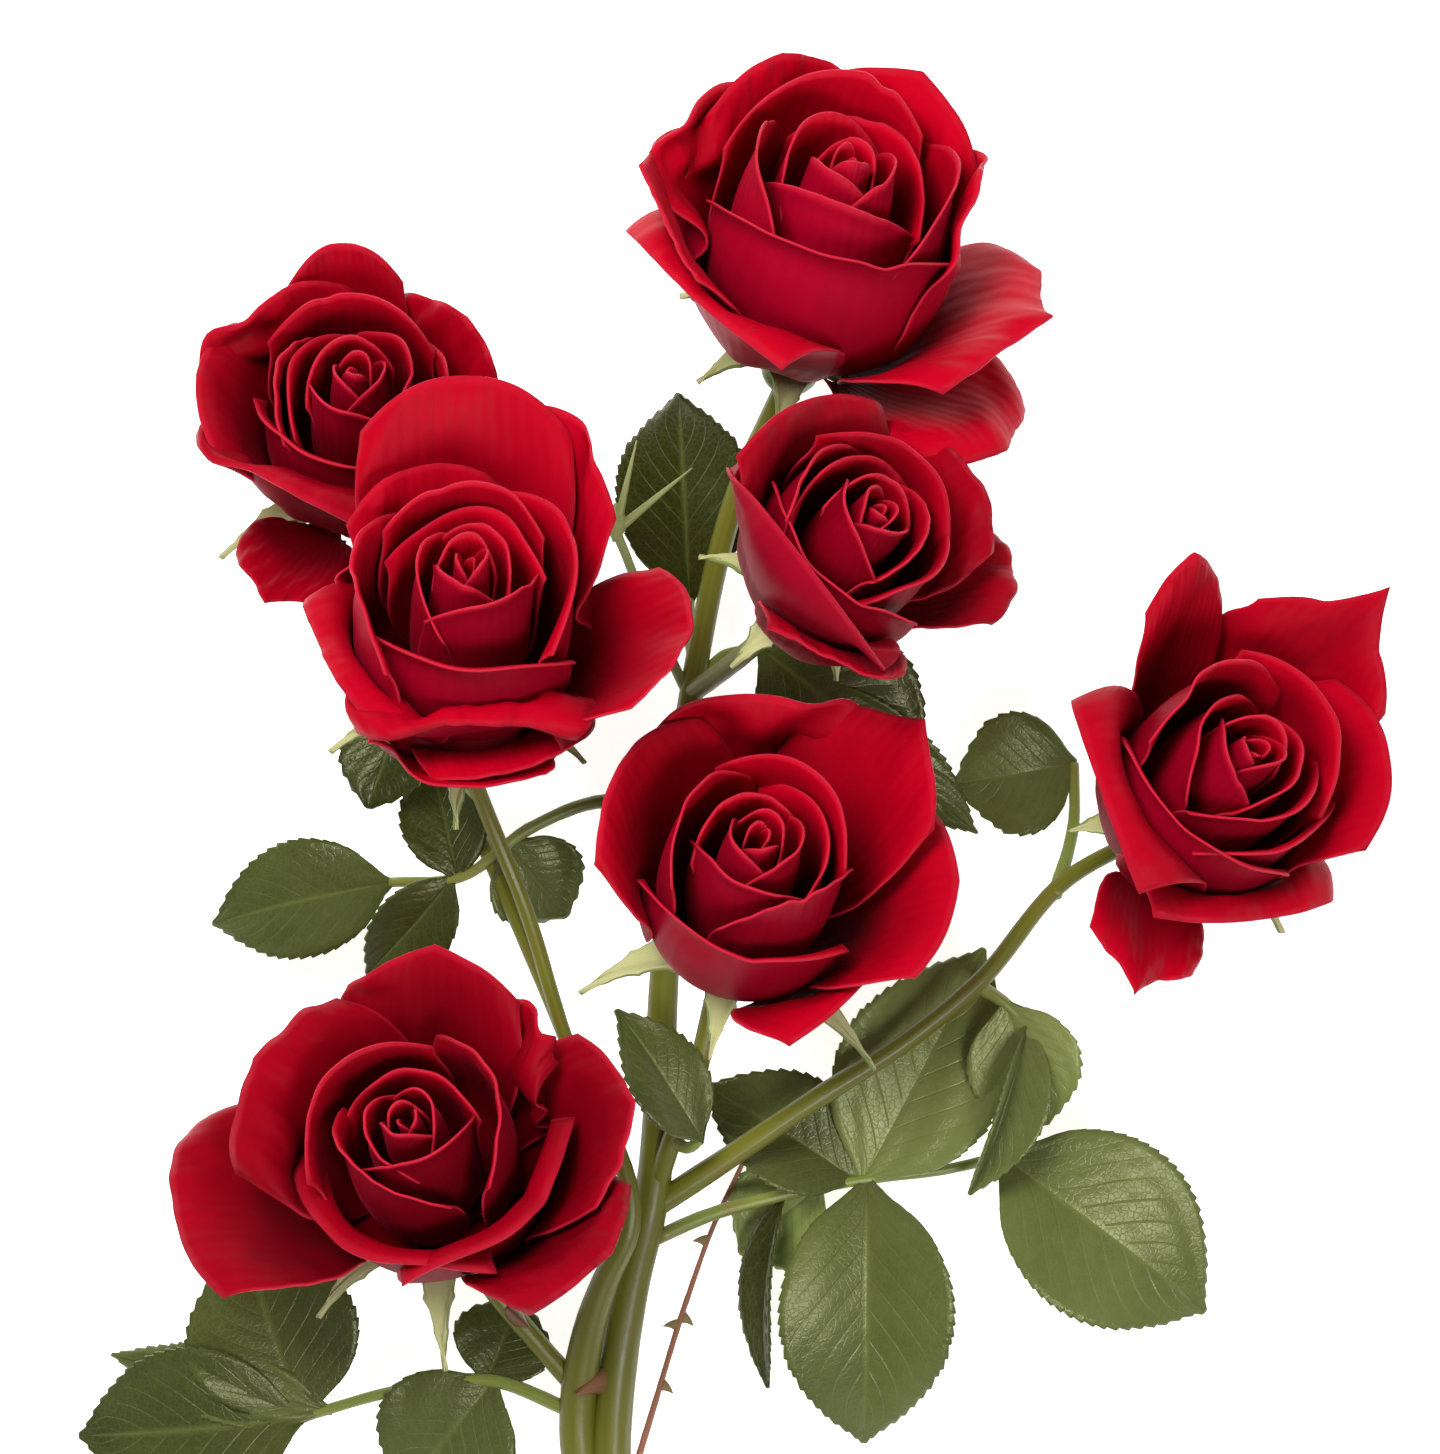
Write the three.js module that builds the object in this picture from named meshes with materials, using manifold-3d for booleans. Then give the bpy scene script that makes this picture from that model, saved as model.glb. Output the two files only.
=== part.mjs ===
// A cut spray rose lying on its back: one branching stem with seven open red blooms, a small green side bud
// and compound leaves. Millimetres, +Z up. +Y runs from the cut end to the top bloom and z = 0 is the table.
// Every sub-part is one closed solid. Neighbours that touch in the plant keep CLEARANCE between their solids.
import * as THREE from "three";
import { mergeVertices } from "three/addons/utils/BufferGeometryUtils.js";
import Module from "manifold-3d";

const wasm = await Module();
wasm.setup();

// Driving dimensions, in millimetres.
const BARE_STEM = 172; // from the cut end to the lowest fork
const REACH = 1; // widens or narrows the branching above the fork, with blooms and leaflets at their own size
const CLEARANCE = 0.3; // gap between neighbouring solids
const PETAL_THICKNESS = 0.9;
const LEAF_THICKNESS = 0.9;
const SEPAL_THICKNESS = 0.8;
const STEM_RADIUS = 3.4; // at the cut end
const PETIOLE_RADIUS = 1.1;
const PRICKLE_HEIGHT = 4.5;
const HIP_RADIUS = 4.5; // the green swelling under a bloom
const HIP_HEIGHT = 8.5;
const SEPAL_LENGTH = 21;
const SEPAL_WIDTH = 6.5;
const PETAL_ROOT = 5.2; // radius of the ring on the hip where the outer petals start
const PETAL_ROOT_WIDTH = 6.5;
const LAYER_STEP = 1.3; // how much further out the next layer of outer petals starts

// How finely the surfaces are divided.
const PETAL_GRID = [4, 5];
const LEAFLET_GRID = [2, 4];
const SEPAL_GRID = [1, 3];
const TUBE_SIDES = 7;
const HEART_SIDES = 12;
const HIP_SIDES = 8;

const DEG = Math.PI / 180;

function finish(name, colour, roughness) {
  return new THREE.MeshStandardMaterial({ name, color: colour, roughness, metalness: 0 });
}

const PETAL_RED = finish("petal_red", 0xb0061e, 0.6);
const DARK_RED = finish("dark_red", 0x7d0716, 0.65);
const LEAF_GREEN = finish("leaf_green", 0x3c5230, 0.45);
const CALYX_GREEN = finish("calyx_green", 0x8a9660, 0.6);
const STEM_GREEN = finish("stem_green", 0x55652a, 0.5);
const TWIG_BROWN = finish("twig_brown", 0x8c4a38, 0.6);

// ---- Layout of the spray. Points are [x, y, z] before the whole spray is centred. ----

const FORK = [-15, -128, 8];
const TOP_BASE = [9.4, 49.3, 14.5];
const LEFT_BASE = [-37.1, -1.8, 34];
const CUT_END = [FORK[0] - 2, FORK[1] - BARE_STEM, STEM_RADIUS];

// Each bloom: where its hip starts, the compass heading and the rise of its axis, the height and radius of
// its furled heart, its sepals as [azimuth, share of SEPAL_LENGTH], and its outer petals. A petal is
// [azimuth, layer, length, half width, lean, curl, cup, roll]: lean is its angle from the bloom's axis at
// half height, curl the angle at its rim, cup how far it wraps round the bloom and roll how far its side
// edges turn back, all in degrees.
const BLOOMS = {
  top: {
    base: TOP_BASE, heading: 74, rise: 45, height: 46, radius: 13.5, red: PETAL_RED,
    sepals: [[262, 0.62], [205, 0.6], [325, 0.6], [40, 0.6], [140, 0.9]],
    petals: [
      [186, 1, 36, 17, 26, 38, 46, 10],
      [222, 1, 31, 18, 27, 58, 56, 30],
      [114, 1, 40, 14, 12, 26, 50, 20],
      [60, 0, 41, 15, 10, 24, 50, 20],
      [-24, 1, 33, 19, 38, 60, 40, 40],
    ],
  },
  upper_left: {
    base: [-52.1, 29.7, 9.8], heading: 88, rise: 56, height: 38, radius: 10.5, red: DARK_RED,
    sepals: [[202, 0.95], [150, 1.2], [280, 0.7], [80, 0.9], [15, 0.8]],
    petals: [
      [97, 1, 34, 9, 18, 26, 36, 20],
      [42, 1, 27, 12, 20, 36, 40, 30],
      [176, 0, 30, 14, 24, 40, 48, 30],
      [236, 0, 29, 16, 14, 60, 56, 40],
    ],
  },
  left: {
    base: LEFT_BASE, heading: 84, rise: 50, height: 40, radius: 11.5, red: PETAL_RED,
    sepals: [[198, 0.8], [270, 0.8], [342, 0.8], [54, 0.8], [126, 0.8]],
    petals: [
      [92, 1, 43, 16, 23, 36, 46, 20],
      [204, 0, 25, 14, 24, 74, 50, 40],
      [-8, 1, 34, 14, 42, 44, 40, 10],
      [272, 1, 23, 15, 12, 94, 52, 40],
    ],
  },
  middle: {
    base: [8.1, 14.3, 34], heading: 48, rise: 50, height: 34, radius: 10, red: DARK_RED,
    sepals: [[232, 0.6], [160, 0.6], [304, 0.45], [90, 0.7], [20, 0.7]],
    petals: [
      [124, 0, 27, 14, 20, 38, 50, 30],
      [42, 1, 26, 13, 20, 38, 46, 40],
      [222, 0, 28, 20, 30, -40, 70, 0],
    ],
  },
  centre: {
    base: [0.3, -34.7, 24], heading: 75, rise: 58, height: 40, radius: 11.5, red: PETAL_RED,
    sepals: [[198, 0.95], [325, 1.2], [262, 0.7], [50, 0.8], [120, 0.8]],
    petals: [
      [150, 0, 34, 15.5, 20, 30, 52, 20],
      [89, 1, 36, 15, 15, 26, 48, 20],
      [-2, 1, 32, 16, 35, 46, 50, 20],
      [-40, 1, 22, 17, 32, 66, 46, 30],
    ],
  },
  lower_left: {
    base: [-38.8, -73.2, 18], heading: 105, rise: 58, height: 38, radius: 11.5, red: DARK_RED,
    sepals: [[215, 1.0], [270, 1.0], [335, 0.9], [54, 0.8], [126, 0.8]],
    petals: [
      [82, 1, 35, 13, 25, 34, 42, 30],
      [152, 0, 33, 16, 22, 60, 52, 40],
      [190, 1, 34, 16, 52, 60, 50, 30],
      [6, 1, 32, 15, 42, 46, 42, 10],
    ],
  },
  right: {
    base: [60.2, -16.5, 13], heading: 42, rise: 58, height: 40, radius: 11.5, red: PETAL_RED,
    sepals: [[334, 1.15], [262, 0.7], [190, 0.5], [118, 0.8], [46, 0.8]],
    petals: [
      [110, 1, 38, 7, 26, 38, 26, 20],
      [54, 1, 38, 13, 22, 32, 40, 20],
      [200, 0, 30, 16, 18, 80, 62, 40],
      [284, 1, 23, 16, 26, 66, 54, 30],
    ],
  },
};

// Stems: points along the middle, and radii at even shares of the length.
const STEMS = {
  main_stem: {
    path: [CUT_END, [-15.5, -240, 3.9], [-17, -180, 5], FORK, [-15.7, -101.8, 11], [-12.6, -79.5, 14],
      [-10.5, -71.1, 16], [-8, -35, 14], [-4.2, 4.5, 16], [2.8, 34.6, 15], TOP_BASE],
    radii: [STEM_RADIUS, STEM_RADIUS, 3.1, 2.8, 1.9, 1.6], steps: 26,
    prickles: [[0.14, 20], [0.26, 190], [0.37, 330], [0.47, 160], [0.58, 40], [0.8, 200]],
  },
  side_stem: {
    path: [FORK, [-20.7, -101.8, 11], [-16.4, -79.5, 19], [-13.3, -73.2, 21.5], [-23, -42.6, 21],
      [-28.3, -25.2, 22], [-33.2, -12.7, 26], LEFT_BASE],
    radii: [2.7, 2.6, 1.3, 1.1, 1.2], steps: 18, prickles: [[0.2, 180]],
  },
  stalk_upper_left: {
    path: [[-22.5, -44, 21], [-33, -20, 14], [-45, 5, 9], "upper_left"],
    radii: [1.1, 1.2], steps: 10, prickles: [],
  },
  stalk_middle: {
    path: [[-4.2, 4.9, 16], [1.6, 9, 24], "middle"],
    radii: [1.5, 1.4], steps: 7, prickles: [],
  },
  stalk_centre: {
    path: [[-9.8, -68.3, 16], [-6.9, -59.5, 20], [-3.9, -51.9, 21], [-1.3, -41, 22], "centre"],
    radii: [1.5, 1.4], steps: 9, prickles: [],
  },
  stalk_lower_left: {
    path: [[-20, -97, 12], [-26, -90, 13], [-33, -81.5, 15], "lower_left"],
    radii: [1.5, 1.4], steps: 8, prickles: [[0.5, 100]],
  },
  stalk_right: {
    path: [[-9.8, -69.6, 16], [0.3, -62.9, 17], [14, -53.6, 18], [27.2, -45.2, 18], [37.1, -37.1, 18],
      [51.1, -21.5, 14], "right"],
    radii: [1.8, 1.4, 1.2], steps: 14, prickles: [[0.35, 250]],
  },
};

// Leaves: the petiole's points, and leaflets as [base, tip, width, fold, bow, bank]. Fold is the angle that each
// half rises from the midrib, bow the arch along it and bank the turn about it, in degrees.
const LEAVES = {
  leaf_right_low: {
    petiole: [[-9.2, -74, 15], [-1.4, -70.8, 13], [7, -68.6, 11.5], [20.4, -66, 10], [34, -64.4, 8.5],
      [41, -62.8, 7.5]],
    leaflets: [
      [[41, -62.8, 7.5], [72.5, -87, 0.5], 28, 10, 22, -10],
      [[21.4, -66, 10], [21.2, -107, 0.5], 26, 12, 24, 0],
      [[20.9, -66, 10], [39, -31.5, 8], 25, 8, 16, 0],
      [[14.5, -67, 9.5], [2.5, -77.5, 3.5], 17, 8, 10, 10],
      [[19.6, -66, 10], [-3, -52, 9.5], 18, 14, 14, 20],
      [[9.5, -68, 11], [7, -97.5, 4.5], 9.5, 30, 12, 55],
    ],
  },
  leaf_right_stalk: {
    petiole: [[37, -37.2, 18], [41, -39.8, 15.5], [44.8, -43.4, 15]],
    leaflets: [
      [[44.4, -43, 15], [36, -68.5, 13], 11, 38, 12, -35],
      [[41.5, -40.2, 15.5], [47.8, -58.5, 9.5], 17, 8, 14, 10],
    ],
  },
  leaf_right_calyx: {
    petiole: [[48.5, -24.5, 15], [51.6, -14, 9], [51.8, -5.3, 6.5]],
    leaflets: [
      [[51.8, -5.3, 6.5], [33.5, -8.6, 5], 18.5, 10, 14, 0],
    ],
  },
  leaf_middle: {
    petiole: [[-4.2, 4.6, 16], [1, 10.5, 15], [6, 11.2, 15.5]],
    leaflets: [
      [[6, 11.2, 15.5], [30, -9, 12], 25, 10, 14, -12],
      [[12, 6.5, 15.5], [38.2, -16, 6.5], 12, 12, 14, 0],
    ],
  },
  leaf_behind_top: {
    petiole: [[-3.5, 8.5, 16], [-4.4, 14, 14.5], [-4.4, 18.5, 12.5]],
    leaflets: [
      [[-4.4, 18.5, 12.5], [-6.2, 50, 0.5], 20, 10, 18, 0],
    ],
  },
  leaf_left: {
    petiole: [[-6, -12, 14.5], [-17.5, -10.8, 15.5], [-27.4, -14.6, 15.5], [-37.7, -21.8, 14],
      [-48, -22.6, 12]],
    leaflets: [
      [[-48, -22.6, 12], [-75, -29, 6], 17.5, 10, 16, 10],
      [[-38, -21.9, 14], [-42.5, -2.5, 12], 13, 10, 10, 0],
      [[-39, -22, 14], [-52, -36.5, 8.5], 12, 12, 14, -15],
      [[-31, -17, 15], [-22, -28, 9], 15, 6, 12, 0],
    ],
  },
  leaf_left_upper: {
    petiole: [[-34.6, -9.6, 28], [-40.5, -4, 23], [-46.5, 1.2, 19]],
    leaflets: [
      [[-46.5, 1.2, 19], [-51, -12.2, 17], 13, 8, 10, 0],
    ],
  },
  leaf_lower_left: {
    petiole: [[-20.5, -100, 11.5], [-33.6, -95.2, 10], [-47.6, -97, 8.5], [-61.3, -101, 7]],
    leaflets: [
      [[-61.3, -101, 7], [-95.5, -104.5, 0.5], 25, 10, 20, 0],
      [[-61, -101, 7], [-70.5, -74, 4], 26, 8, 18, 0],
      [[-57, -100, 7.3], [-90, -92, 3], 11, 10, 12, 0],
      [[-33, -95.3, 10], [-47.5, -113, 2], 22, 8, 18, 0],
      [[-34, -95.3, 10], [-29, -83, 6.5], 15, 8, 8, 0],
    ],
  },
  bract_centre: {
    petiole: [[-6.9, -59.5, 20], [-4.4, -60.4, 22.6], [-2.8, -59.2, 23.6]],
    leaflets: [
      [[-2.8, -59.2, 23.6], [-15.3, -40, 26], 13, 12, 12, 25],
    ],
  },
};

const TWIG = [[-13.5, -112, 10], [-8.4, -95, 8.5], [-5, -84, 9], [-1, -73, 8], [3.5, -63.3, 7.5]];
const TWIG_RADIUS = 0.6;
const BUD = [-15, 28.3, 19];
const BUD_STALK = [[-5, 5.5, 16], [-10, 16, 18], BUD];
const BUD_STALK_RADIUS = 0.8;
const BUD_RADIUS = 1.7;
const BUD_SEPALS = [[11, 9], [3, 13], [-5, 8]]; // how far each tip lies from the bud, across and along
const BUD_SEPAL_RISE = 1;

// ---- Curves and closed surfaces. ----

function vector(point) {
  const spread = point[1] > FORK[1] ? REACH : 1;
  const x = FORK[0] + (point[0] - FORK[0]) * spread;
  const y = FORK[1] + (point[1] - FORK[1]) * spread;
  return new THREE.Vector3(x, y, point[2]);
}

// The value at v of a smooth curve through evenly spaced values.
function along(values, v) {
  const last = values.length - 1;
  const place = THREE.MathUtils.clamp(v, 0, 1) * last;
  const i = Math.min(Math.floor(place), last - 1);
  const t = place - i;
  const before = values[Math.max(i - 1, 0)];
  const after = values[Math.min(i + 2, last)];
  const a = values[i];
  const b = values[i + 1];
  const slopeA = (b - before) / 2;
  const slopeB = (after - a) / 2;
  const t2 = t * t;
  const t3 = t2 * t;
  return (2 * t3 - 3 * t2 + 1) * a + (t3 - 2 * t2 + t) * slopeA + (3 * t2 - 2 * t3) * b + (t3 - t2) * slopeB;
}

function bare(geometry) {
  geometry.deleteAttribute("normal");
  geometry.deleteAttribute("uv");
  return mergeVertices(geometry, 1e-4);
}

// A closed solid from a box divided across and along, each vertex moved to surface(u, v) and then half a
// thickness to either side. margin makes it larger all round.
function sheet(surface, grid, thickness, size, margin) {
  const box = new THREE.BoxGeometry(2, 1, 1, grid[0], grid[1], 1);
  const position = box.attributes.position;
  const du = margin / size.halfWidth;
  const dv = margin / size.length;
  const step = 1e-3;
  for (let i = 0; i < position.count; i++) {
    const u = position.getX(i) * (1 + du);
    const v = (position.getY(i) + 0.5) * (1 + 2 * dv) - dv;
    const offset = position.getZ(i) * (thickness + 2 * margin);
    const across = surface(u + step, v).sub(surface(u - step, v));
    const up = surface(u, v + step).sub(surface(u, v - step));
    const normal = across.cross(up).normalize();
    const point = surface(u, v).addScaledVector(normal, offset);
    position.setXYZ(i, point.x, point.y, point.z);
  }
  return bare(box);
}

// A curved blade, used for petals, sepals and leaflets. It starts at radius root from the z axis and climbs at
// angle lean(v) from that axis; its cross-section turns by edge(v, s) at the share s of its half width.
function bladeSurface(blade) {
  const steps = 14;
  return (u, v) => {
    const side = Math.sign(u) || 1;
    const share = Math.abs(u);
    const length = blade.length * (1 - blade.shoulder * share ** 2.4);
    let r = blade.root;
    let h = blade.foot;
    for (let i = 0; i < steps; i++) {
      const angle = along(blade.lean, ((i + 0.5) / steps) * v) * DEG;
      r += (Math.sin(angle) * length * v) / steps;
      h += (Math.cos(angle) * length * v) / steps;
    }
    const lean = along(blade.lean, v) * DEG;
    const half = along(blade.outline, v) * blade.halfWidth;
    let out = 0;
    let inward = 0;
    for (let i = 0; i < steps; i++) {
      const s = ((i + 0.5) / steps) * share;
      const turn = (blade.fold + along(blade.cup, v) * s - along(blade.roll, v) * s ** 4) * DEG;
      out += (Math.cos(turn) * half * share) / steps;
      inward += (Math.sin(turn) * half * share) / steps;
    }
    const point = new THREE.Vector3(r - inward * Math.cos(lean), side * out, h + inward * Math.sin(lean));
    return point.applyAxisAngle(new THREE.Vector3(0, 0, 1), blade.azimuth * DEG);
  };
}

// A round closed tube along points, with its radius going smoothly through the radii.
function tube(points, radii, steps, margin, sides = TUBE_SIDES) {
  const curve = new THREE.CatmullRomCurve3(points, false, "centripetal");
  const frames = curve.computeFrenetFrames(steps, false);
  const geometry = new THREE.CylinderGeometry(1, 1, 1, sides, steps);
  const position = geometry.attributes.position;
  for (let i = 0; i < position.count; i++) {
    const share = position.getY(i) + 0.5;
    const row = Math.round(share * steps);
    const radius = along(radii, share) + margin;
    const centre = curve.getPointAt(row / steps);
    if (row === 0) centre.addScaledVector(frames.tangents[row], -margin);
    if (row === steps) centre.addScaledVector(frames.tangents[row], margin);
    centre.addScaledVector(frames.normals[row], position.getX(i) * radius);
    centre.addScaledVector(frames.binormals[row], -position.getZ(i) * radius);
    position.setXYZ(i, centre.x, centre.y, centre.z);
  }
  return { geometry: bare(geometry), curve };
}

function lathe(profile, sides) {
  const points = profile.map(([r, h]) => new THREE.Vector2(r, h));
  return bare(new THREE.LatheGeometry(points, sides).rotateX(Math.PI / 2));
}

// ---- Solids: every sub-part is cut clear of the sub-parts before it. ----

const spray = new THREE.Group();
const placed = [];

function solidOf(geometry, matrix) {
  const moved = geometry.clone().applyMatrix4(matrix);
  const merged = mergeVertices(moved, 1e-4);
  const triVerts = new Uint32Array(merged.index.array);
  const vertProperties = merged.attributes.position.array;
  return new wasm.Manifold(new wasm.Mesh({ numProp: 3, vertProperties, triVerts }));
}

function joined(geometries, matrix) {
  return geometries.map((geometry) => solidOf(geometry, matrix)).reduce((a, b) => a.add(b));
}

function largestBody(solid) {
  return solid.decompose().reduce((a, b) => (a.volume() > b.volume() ? a : b));
}

function geometryOf(solid, matrix) {
  const mesh = solid.getMesh();
  const geometry = new THREE.BufferGeometry();
  geometry.setAttribute("position", new THREE.BufferAttribute(new Float32Array(mesh.vertProperties), 3));
  geometry.setIndex(new THREE.BufferAttribute(new Uint32Array(mesh.triVerts), 1));
  geometry.applyMatrix4(matrix);
  geometry.computeVertexNormals();
  return geometry;
}

// Adds one named sub-part to a group. build(margin) returns its closed geometries in the group's own frame,
// grown by margin all round.
function addPart(name, group, material, build) {
  group.updateWorldMatrix(true, false);
  const matrix = group.matrixWorld;
  const cut = placed.reduce((solid, grown) => solid.subtract(grown), joined(build(0), matrix));
  const geometry = geometryOf(largestBody(cut), matrix.clone().invert());
  const mesh = new THREE.Mesh(geometry, material.clone());
  mesh.name = name;
  group.add(mesh);
  placed.push(joined(build(CLEARANCE), matrix));
}

// ---- Stems. ----

function prickle(stem, share, azimuth, radii, margin) {
  const radius = along(radii, share);
  const cone = new THREE.ConeGeometry(PRICKLE_HEIGHT * 0.42 + margin, PRICKLE_HEIGHT + radius + margin, 6);
  const middle = stem.curve.getPointAt(share);
  const tangent = stem.curve.getTangentAt(share);
  const sideways = new THREE.Vector3(0, 0, 1).cross(tangent).normalize();
  const out = sideways.applyAxisAngle(tangent, azimuth * DEG).addScaledVector(tangent, -0.35).normalize();
  cone.translate(0, (PRICKLE_HEIGHT + radius) / 2, 0);
  cone.applyQuaternion(new THREE.Quaternion().setFromUnitVectors(new THREE.Vector3(0, 1, 0), out));
  cone.translate(middle.x, middle.y, middle.z);
  return bare(cone);
}

function addStem(name, stem) {
  const points = stem.path.map((place) => vector(typeof place === "string" ? BLOOMS[place].base : place));
  addPart(name, spray, STEM_GREEN, (margin) => {
    const body = tube(points, stem.radii, stem.steps, margin);
    const prickles = stem.prickles.map(([at, azimuth]) => prickle(body, at, azimuth, stem.radii, margin));
    return [body.geometry, ...prickles];
  });
}

// ---- Blooms. ----

function bloomGroup(bloom) {
  const heading = bloom.heading * DEG;
  const rise = bloom.rise * DEG;
  const flat = Math.cos(rise);
  const axis = new THREE.Vector3(flat * Math.cos(heading), flat * Math.sin(heading), Math.sin(rise));
  const right = new THREE.Vector3(1, 0, 0).addScaledVector(axis, -axis.x).normalize();
  const up = axis.clone().cross(right);
  const group = new THREE.Group();
  group.position.copy(vector(bloom.base));
  group.quaternion.setFromRotationMatrix(new THREE.Matrix4().makeBasis(right, up, axis));
  spray.add(group);
  return group;
}

function sepal(azimuth, share, margin) {
  const blade = {
    azimuth, root: HIP_RADIUS - 1.6, foot: HIP_HEIGHT - 1.6, length: SEPAL_LENGTH * share,
    halfWidth: SEPAL_WIDTH / 2, lean: [70, 95, 118, 135], outline: [1, 0.95, 0.6, 0.2],
    cup: [40, 30, 20, 10], roll: [0, 0, 0, 0], fold: 0, shoulder: 0,
  };
  return sheet(bladeSurface(blade), SEPAL_GRID, SEPAL_THICKNESS, blade, margin);
}

function hip(margin) {
  const r = HIP_RADIUS + margin;
  const h = HIP_HEIGHT;
  const profile = [
    [0, -margin], [r * 0.42, -margin], [r * 0.85, h * 0.27],
    [r, h * 0.6], [r * 0.8, h + margin], [0, h + margin],
  ];
  return lathe(profile, HIP_SIDES);
}

function heart(bloom, margin) {
  const r = bloom.radius + margin;
  const foot = HIP_HEIGHT + CLEARANCE - margin;
  const tall = bloom.height - HIP_HEIGHT - CLEARANCE;
  const shares = [[0.28, 0], [0.68, 0.15], [0.95, 0.38], [0.98, 0.7], [0.84, 0.93], [0.72, 1], [0.35, 0.93]];
  const profile = shares.map(([across, up]) => [across * r, foot + up * (tall + 2 * margin)]);
  const top = profile[profile.length - 1][1];
  return lathe([[0, foot], ...profile, [0, top]], HEART_SIDES);
}

function outerPetal(row, margin) {
  const [azimuth, layer, length, halfWidth, lean, curl, cup, roll] = row;
  const rootShare = PETAL_ROOT_WIDTH / 2 / halfWidth;
  const blade = {
    azimuth, length, halfWidth,
    root: PETAL_ROOT + LAYER_STEP * layer, foot: HIP_HEIGHT + PETAL_THICKNESS - LAYER_STEP * layer * 0.4,
    lean: [70, lean + 8, lean, (4 * lean + curl) / 5, curl],
    outline: [rootShare, 0.62, 0.92, 1, 0.94],
    cup: [50, cup, cup, cup * 0.8, cup * 0.5],
    roll: [0, 0, roll * 0.3, roll * 0.7, roll],
    fold: 0, shoulder: 0.2,
  };
  return sheet(bladeSurface(blade), PETAL_GRID, PETAL_THICKNESS, blade, margin);
}

// ---- Leaves. ----

function leaflet([base, tip, width, fold, bow, bank], margin) {
  const start = vector(base);
  const span = vector(tip).sub(start);
  const length = span.length();
  const blade = {
    azimuth: 0, root: -0.4, foot: 0, length, halfWidth: width / 2,
    lean: [90 - bow, 90 - bow * 0.5, 90, 90 + bow * 0.5, 90 + bow], outline: [0.12, 0.78, 1, 0.72, 0.07],
    cup: [0, 4, 6, 4, 0], roll: [0, 0, 0, 0, 0], fold, shoulder: 0,
  };
  const geometry = sheet(bladeSurface(blade), LEAFLET_GRID, LEAF_THICKNESS, blade, margin);
  const forward = span.normalize();
  const side = new THREE.Vector3(0, 0, 1).cross(forward).normalize();
  const up = forward.clone().cross(side);
  geometry.rotateX(bank * DEG);
  geometry.applyMatrix4(new THREE.Matrix4().makeBasis(forward, side, up));
  return geometry.translate(start.x, start.y, start.z);
}

function addLeaf(name, leaf) {
  addPart(name, spray, LEAF_GREEN, (margin) => {
    const steps = leaf.petiole.length * 2;
    const radii = [PETIOLE_RADIUS, PETIOLE_RADIUS * 0.75];
    const petiole = tube(leaf.petiole.map(vector), radii, steps, margin, 6);
    return [petiole.geometry, ...leaf.leaflets.map((row) => leaflet(row, margin))];
  });
}

// ---- The side bud and the thin dead twig. ----

function budSepal(end, [dx, dy], margin) {
  const tip = end.clone().add(new THREE.Vector3(dx, dy, BUD_SEPAL_RISE));
  const middle = end.clone().lerp(tip, 0.5);
  middle.z += BUD_SEPAL_RISE;
  return tube([end, middle, tip], [BUD_STALK_RADIUS * 0.9, BUD_STALK_RADIUS * 0.5], 4, margin, 5).geometry;
}

function budParts(margin) {
  const stalk = tube(BUD_STALK.map(vector), [BUD_STALK_RADIUS, BUD_STALK_RADIUS * 0.9], 6, margin, 6);
  const end = vector(BUD);
  const ball = new THREE.SphereGeometry(BUD_RADIUS + margin, 8, 6);
  ball.scale(1, 1.5, 1);
  ball.translate(end.x, end.y + BUD_RADIUS * 0.6, end.z);
  return [stalk.geometry, bare(ball), ...BUD_SEPALS.map((reach) => budSepal(end, reach, margin))];
}

function twigParts(margin) {
  const radii = [TWIG_RADIUS, TWIG_RADIUS * 0.8];
  return [tube(TWIG.map(vector), radii, 8, margin, 6).geometry];
}

// ---- Assembly: stems first, then each bloom from its calyx outwards, then the leaves. ----

for (const [name, stem] of Object.entries(STEMS)) addStem(name, stem);

const groups = Object.fromEntries(Object.entries(BLOOMS).map(([place, bloom]) => [place, bloomGroup(bloom)]));

for (const [place, bloom] of Object.entries(BLOOMS)) {
  addPart(`calyx_${place}`, groups[place], CALYX_GREEN, (margin) => {
    return [hip(margin), ...bloom.sepals.map(([azimuth, share]) => sepal(azimuth, share, margin))];
  });
}

for (const [place, bloom] of Object.entries(BLOOMS)) {
  addPart(`heart_${place}`, groups[place], bloom.red, (margin) => [heart(bloom, margin)]);
}

for (const [place, bloom] of Object.entries(BLOOMS)) {
  bloom.petals.forEach((row, i) => {
    addPart(`petal_${place}_${i + 1}`, groups[place], bloom.red, (margin) => [outerPetal(row, margin)]);
  });
}

for (const [name, leaf] of Object.entries(LEAVES)) addLeaf(name, leaf);

addPart("side_bud", spray, CALYX_GREEN, budParts);
addPart("thin_twig", spray, TWIG_BROWN, twigParts);

// The origin is at the middle of the whole spray's footprint, on the table.
const box = new THREE.Box3().setFromObject(spray, true);
const middle = box.getCenter(new THREE.Vector3());
spray.position.set(-middle.x, -middle.y, -box.min.z);

const rose = new THREE.Group();
rose.add(spray);

export default rose;
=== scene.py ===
"""Finished looks for a cut spray rose: petals, calyces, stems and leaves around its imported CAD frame."""

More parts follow.
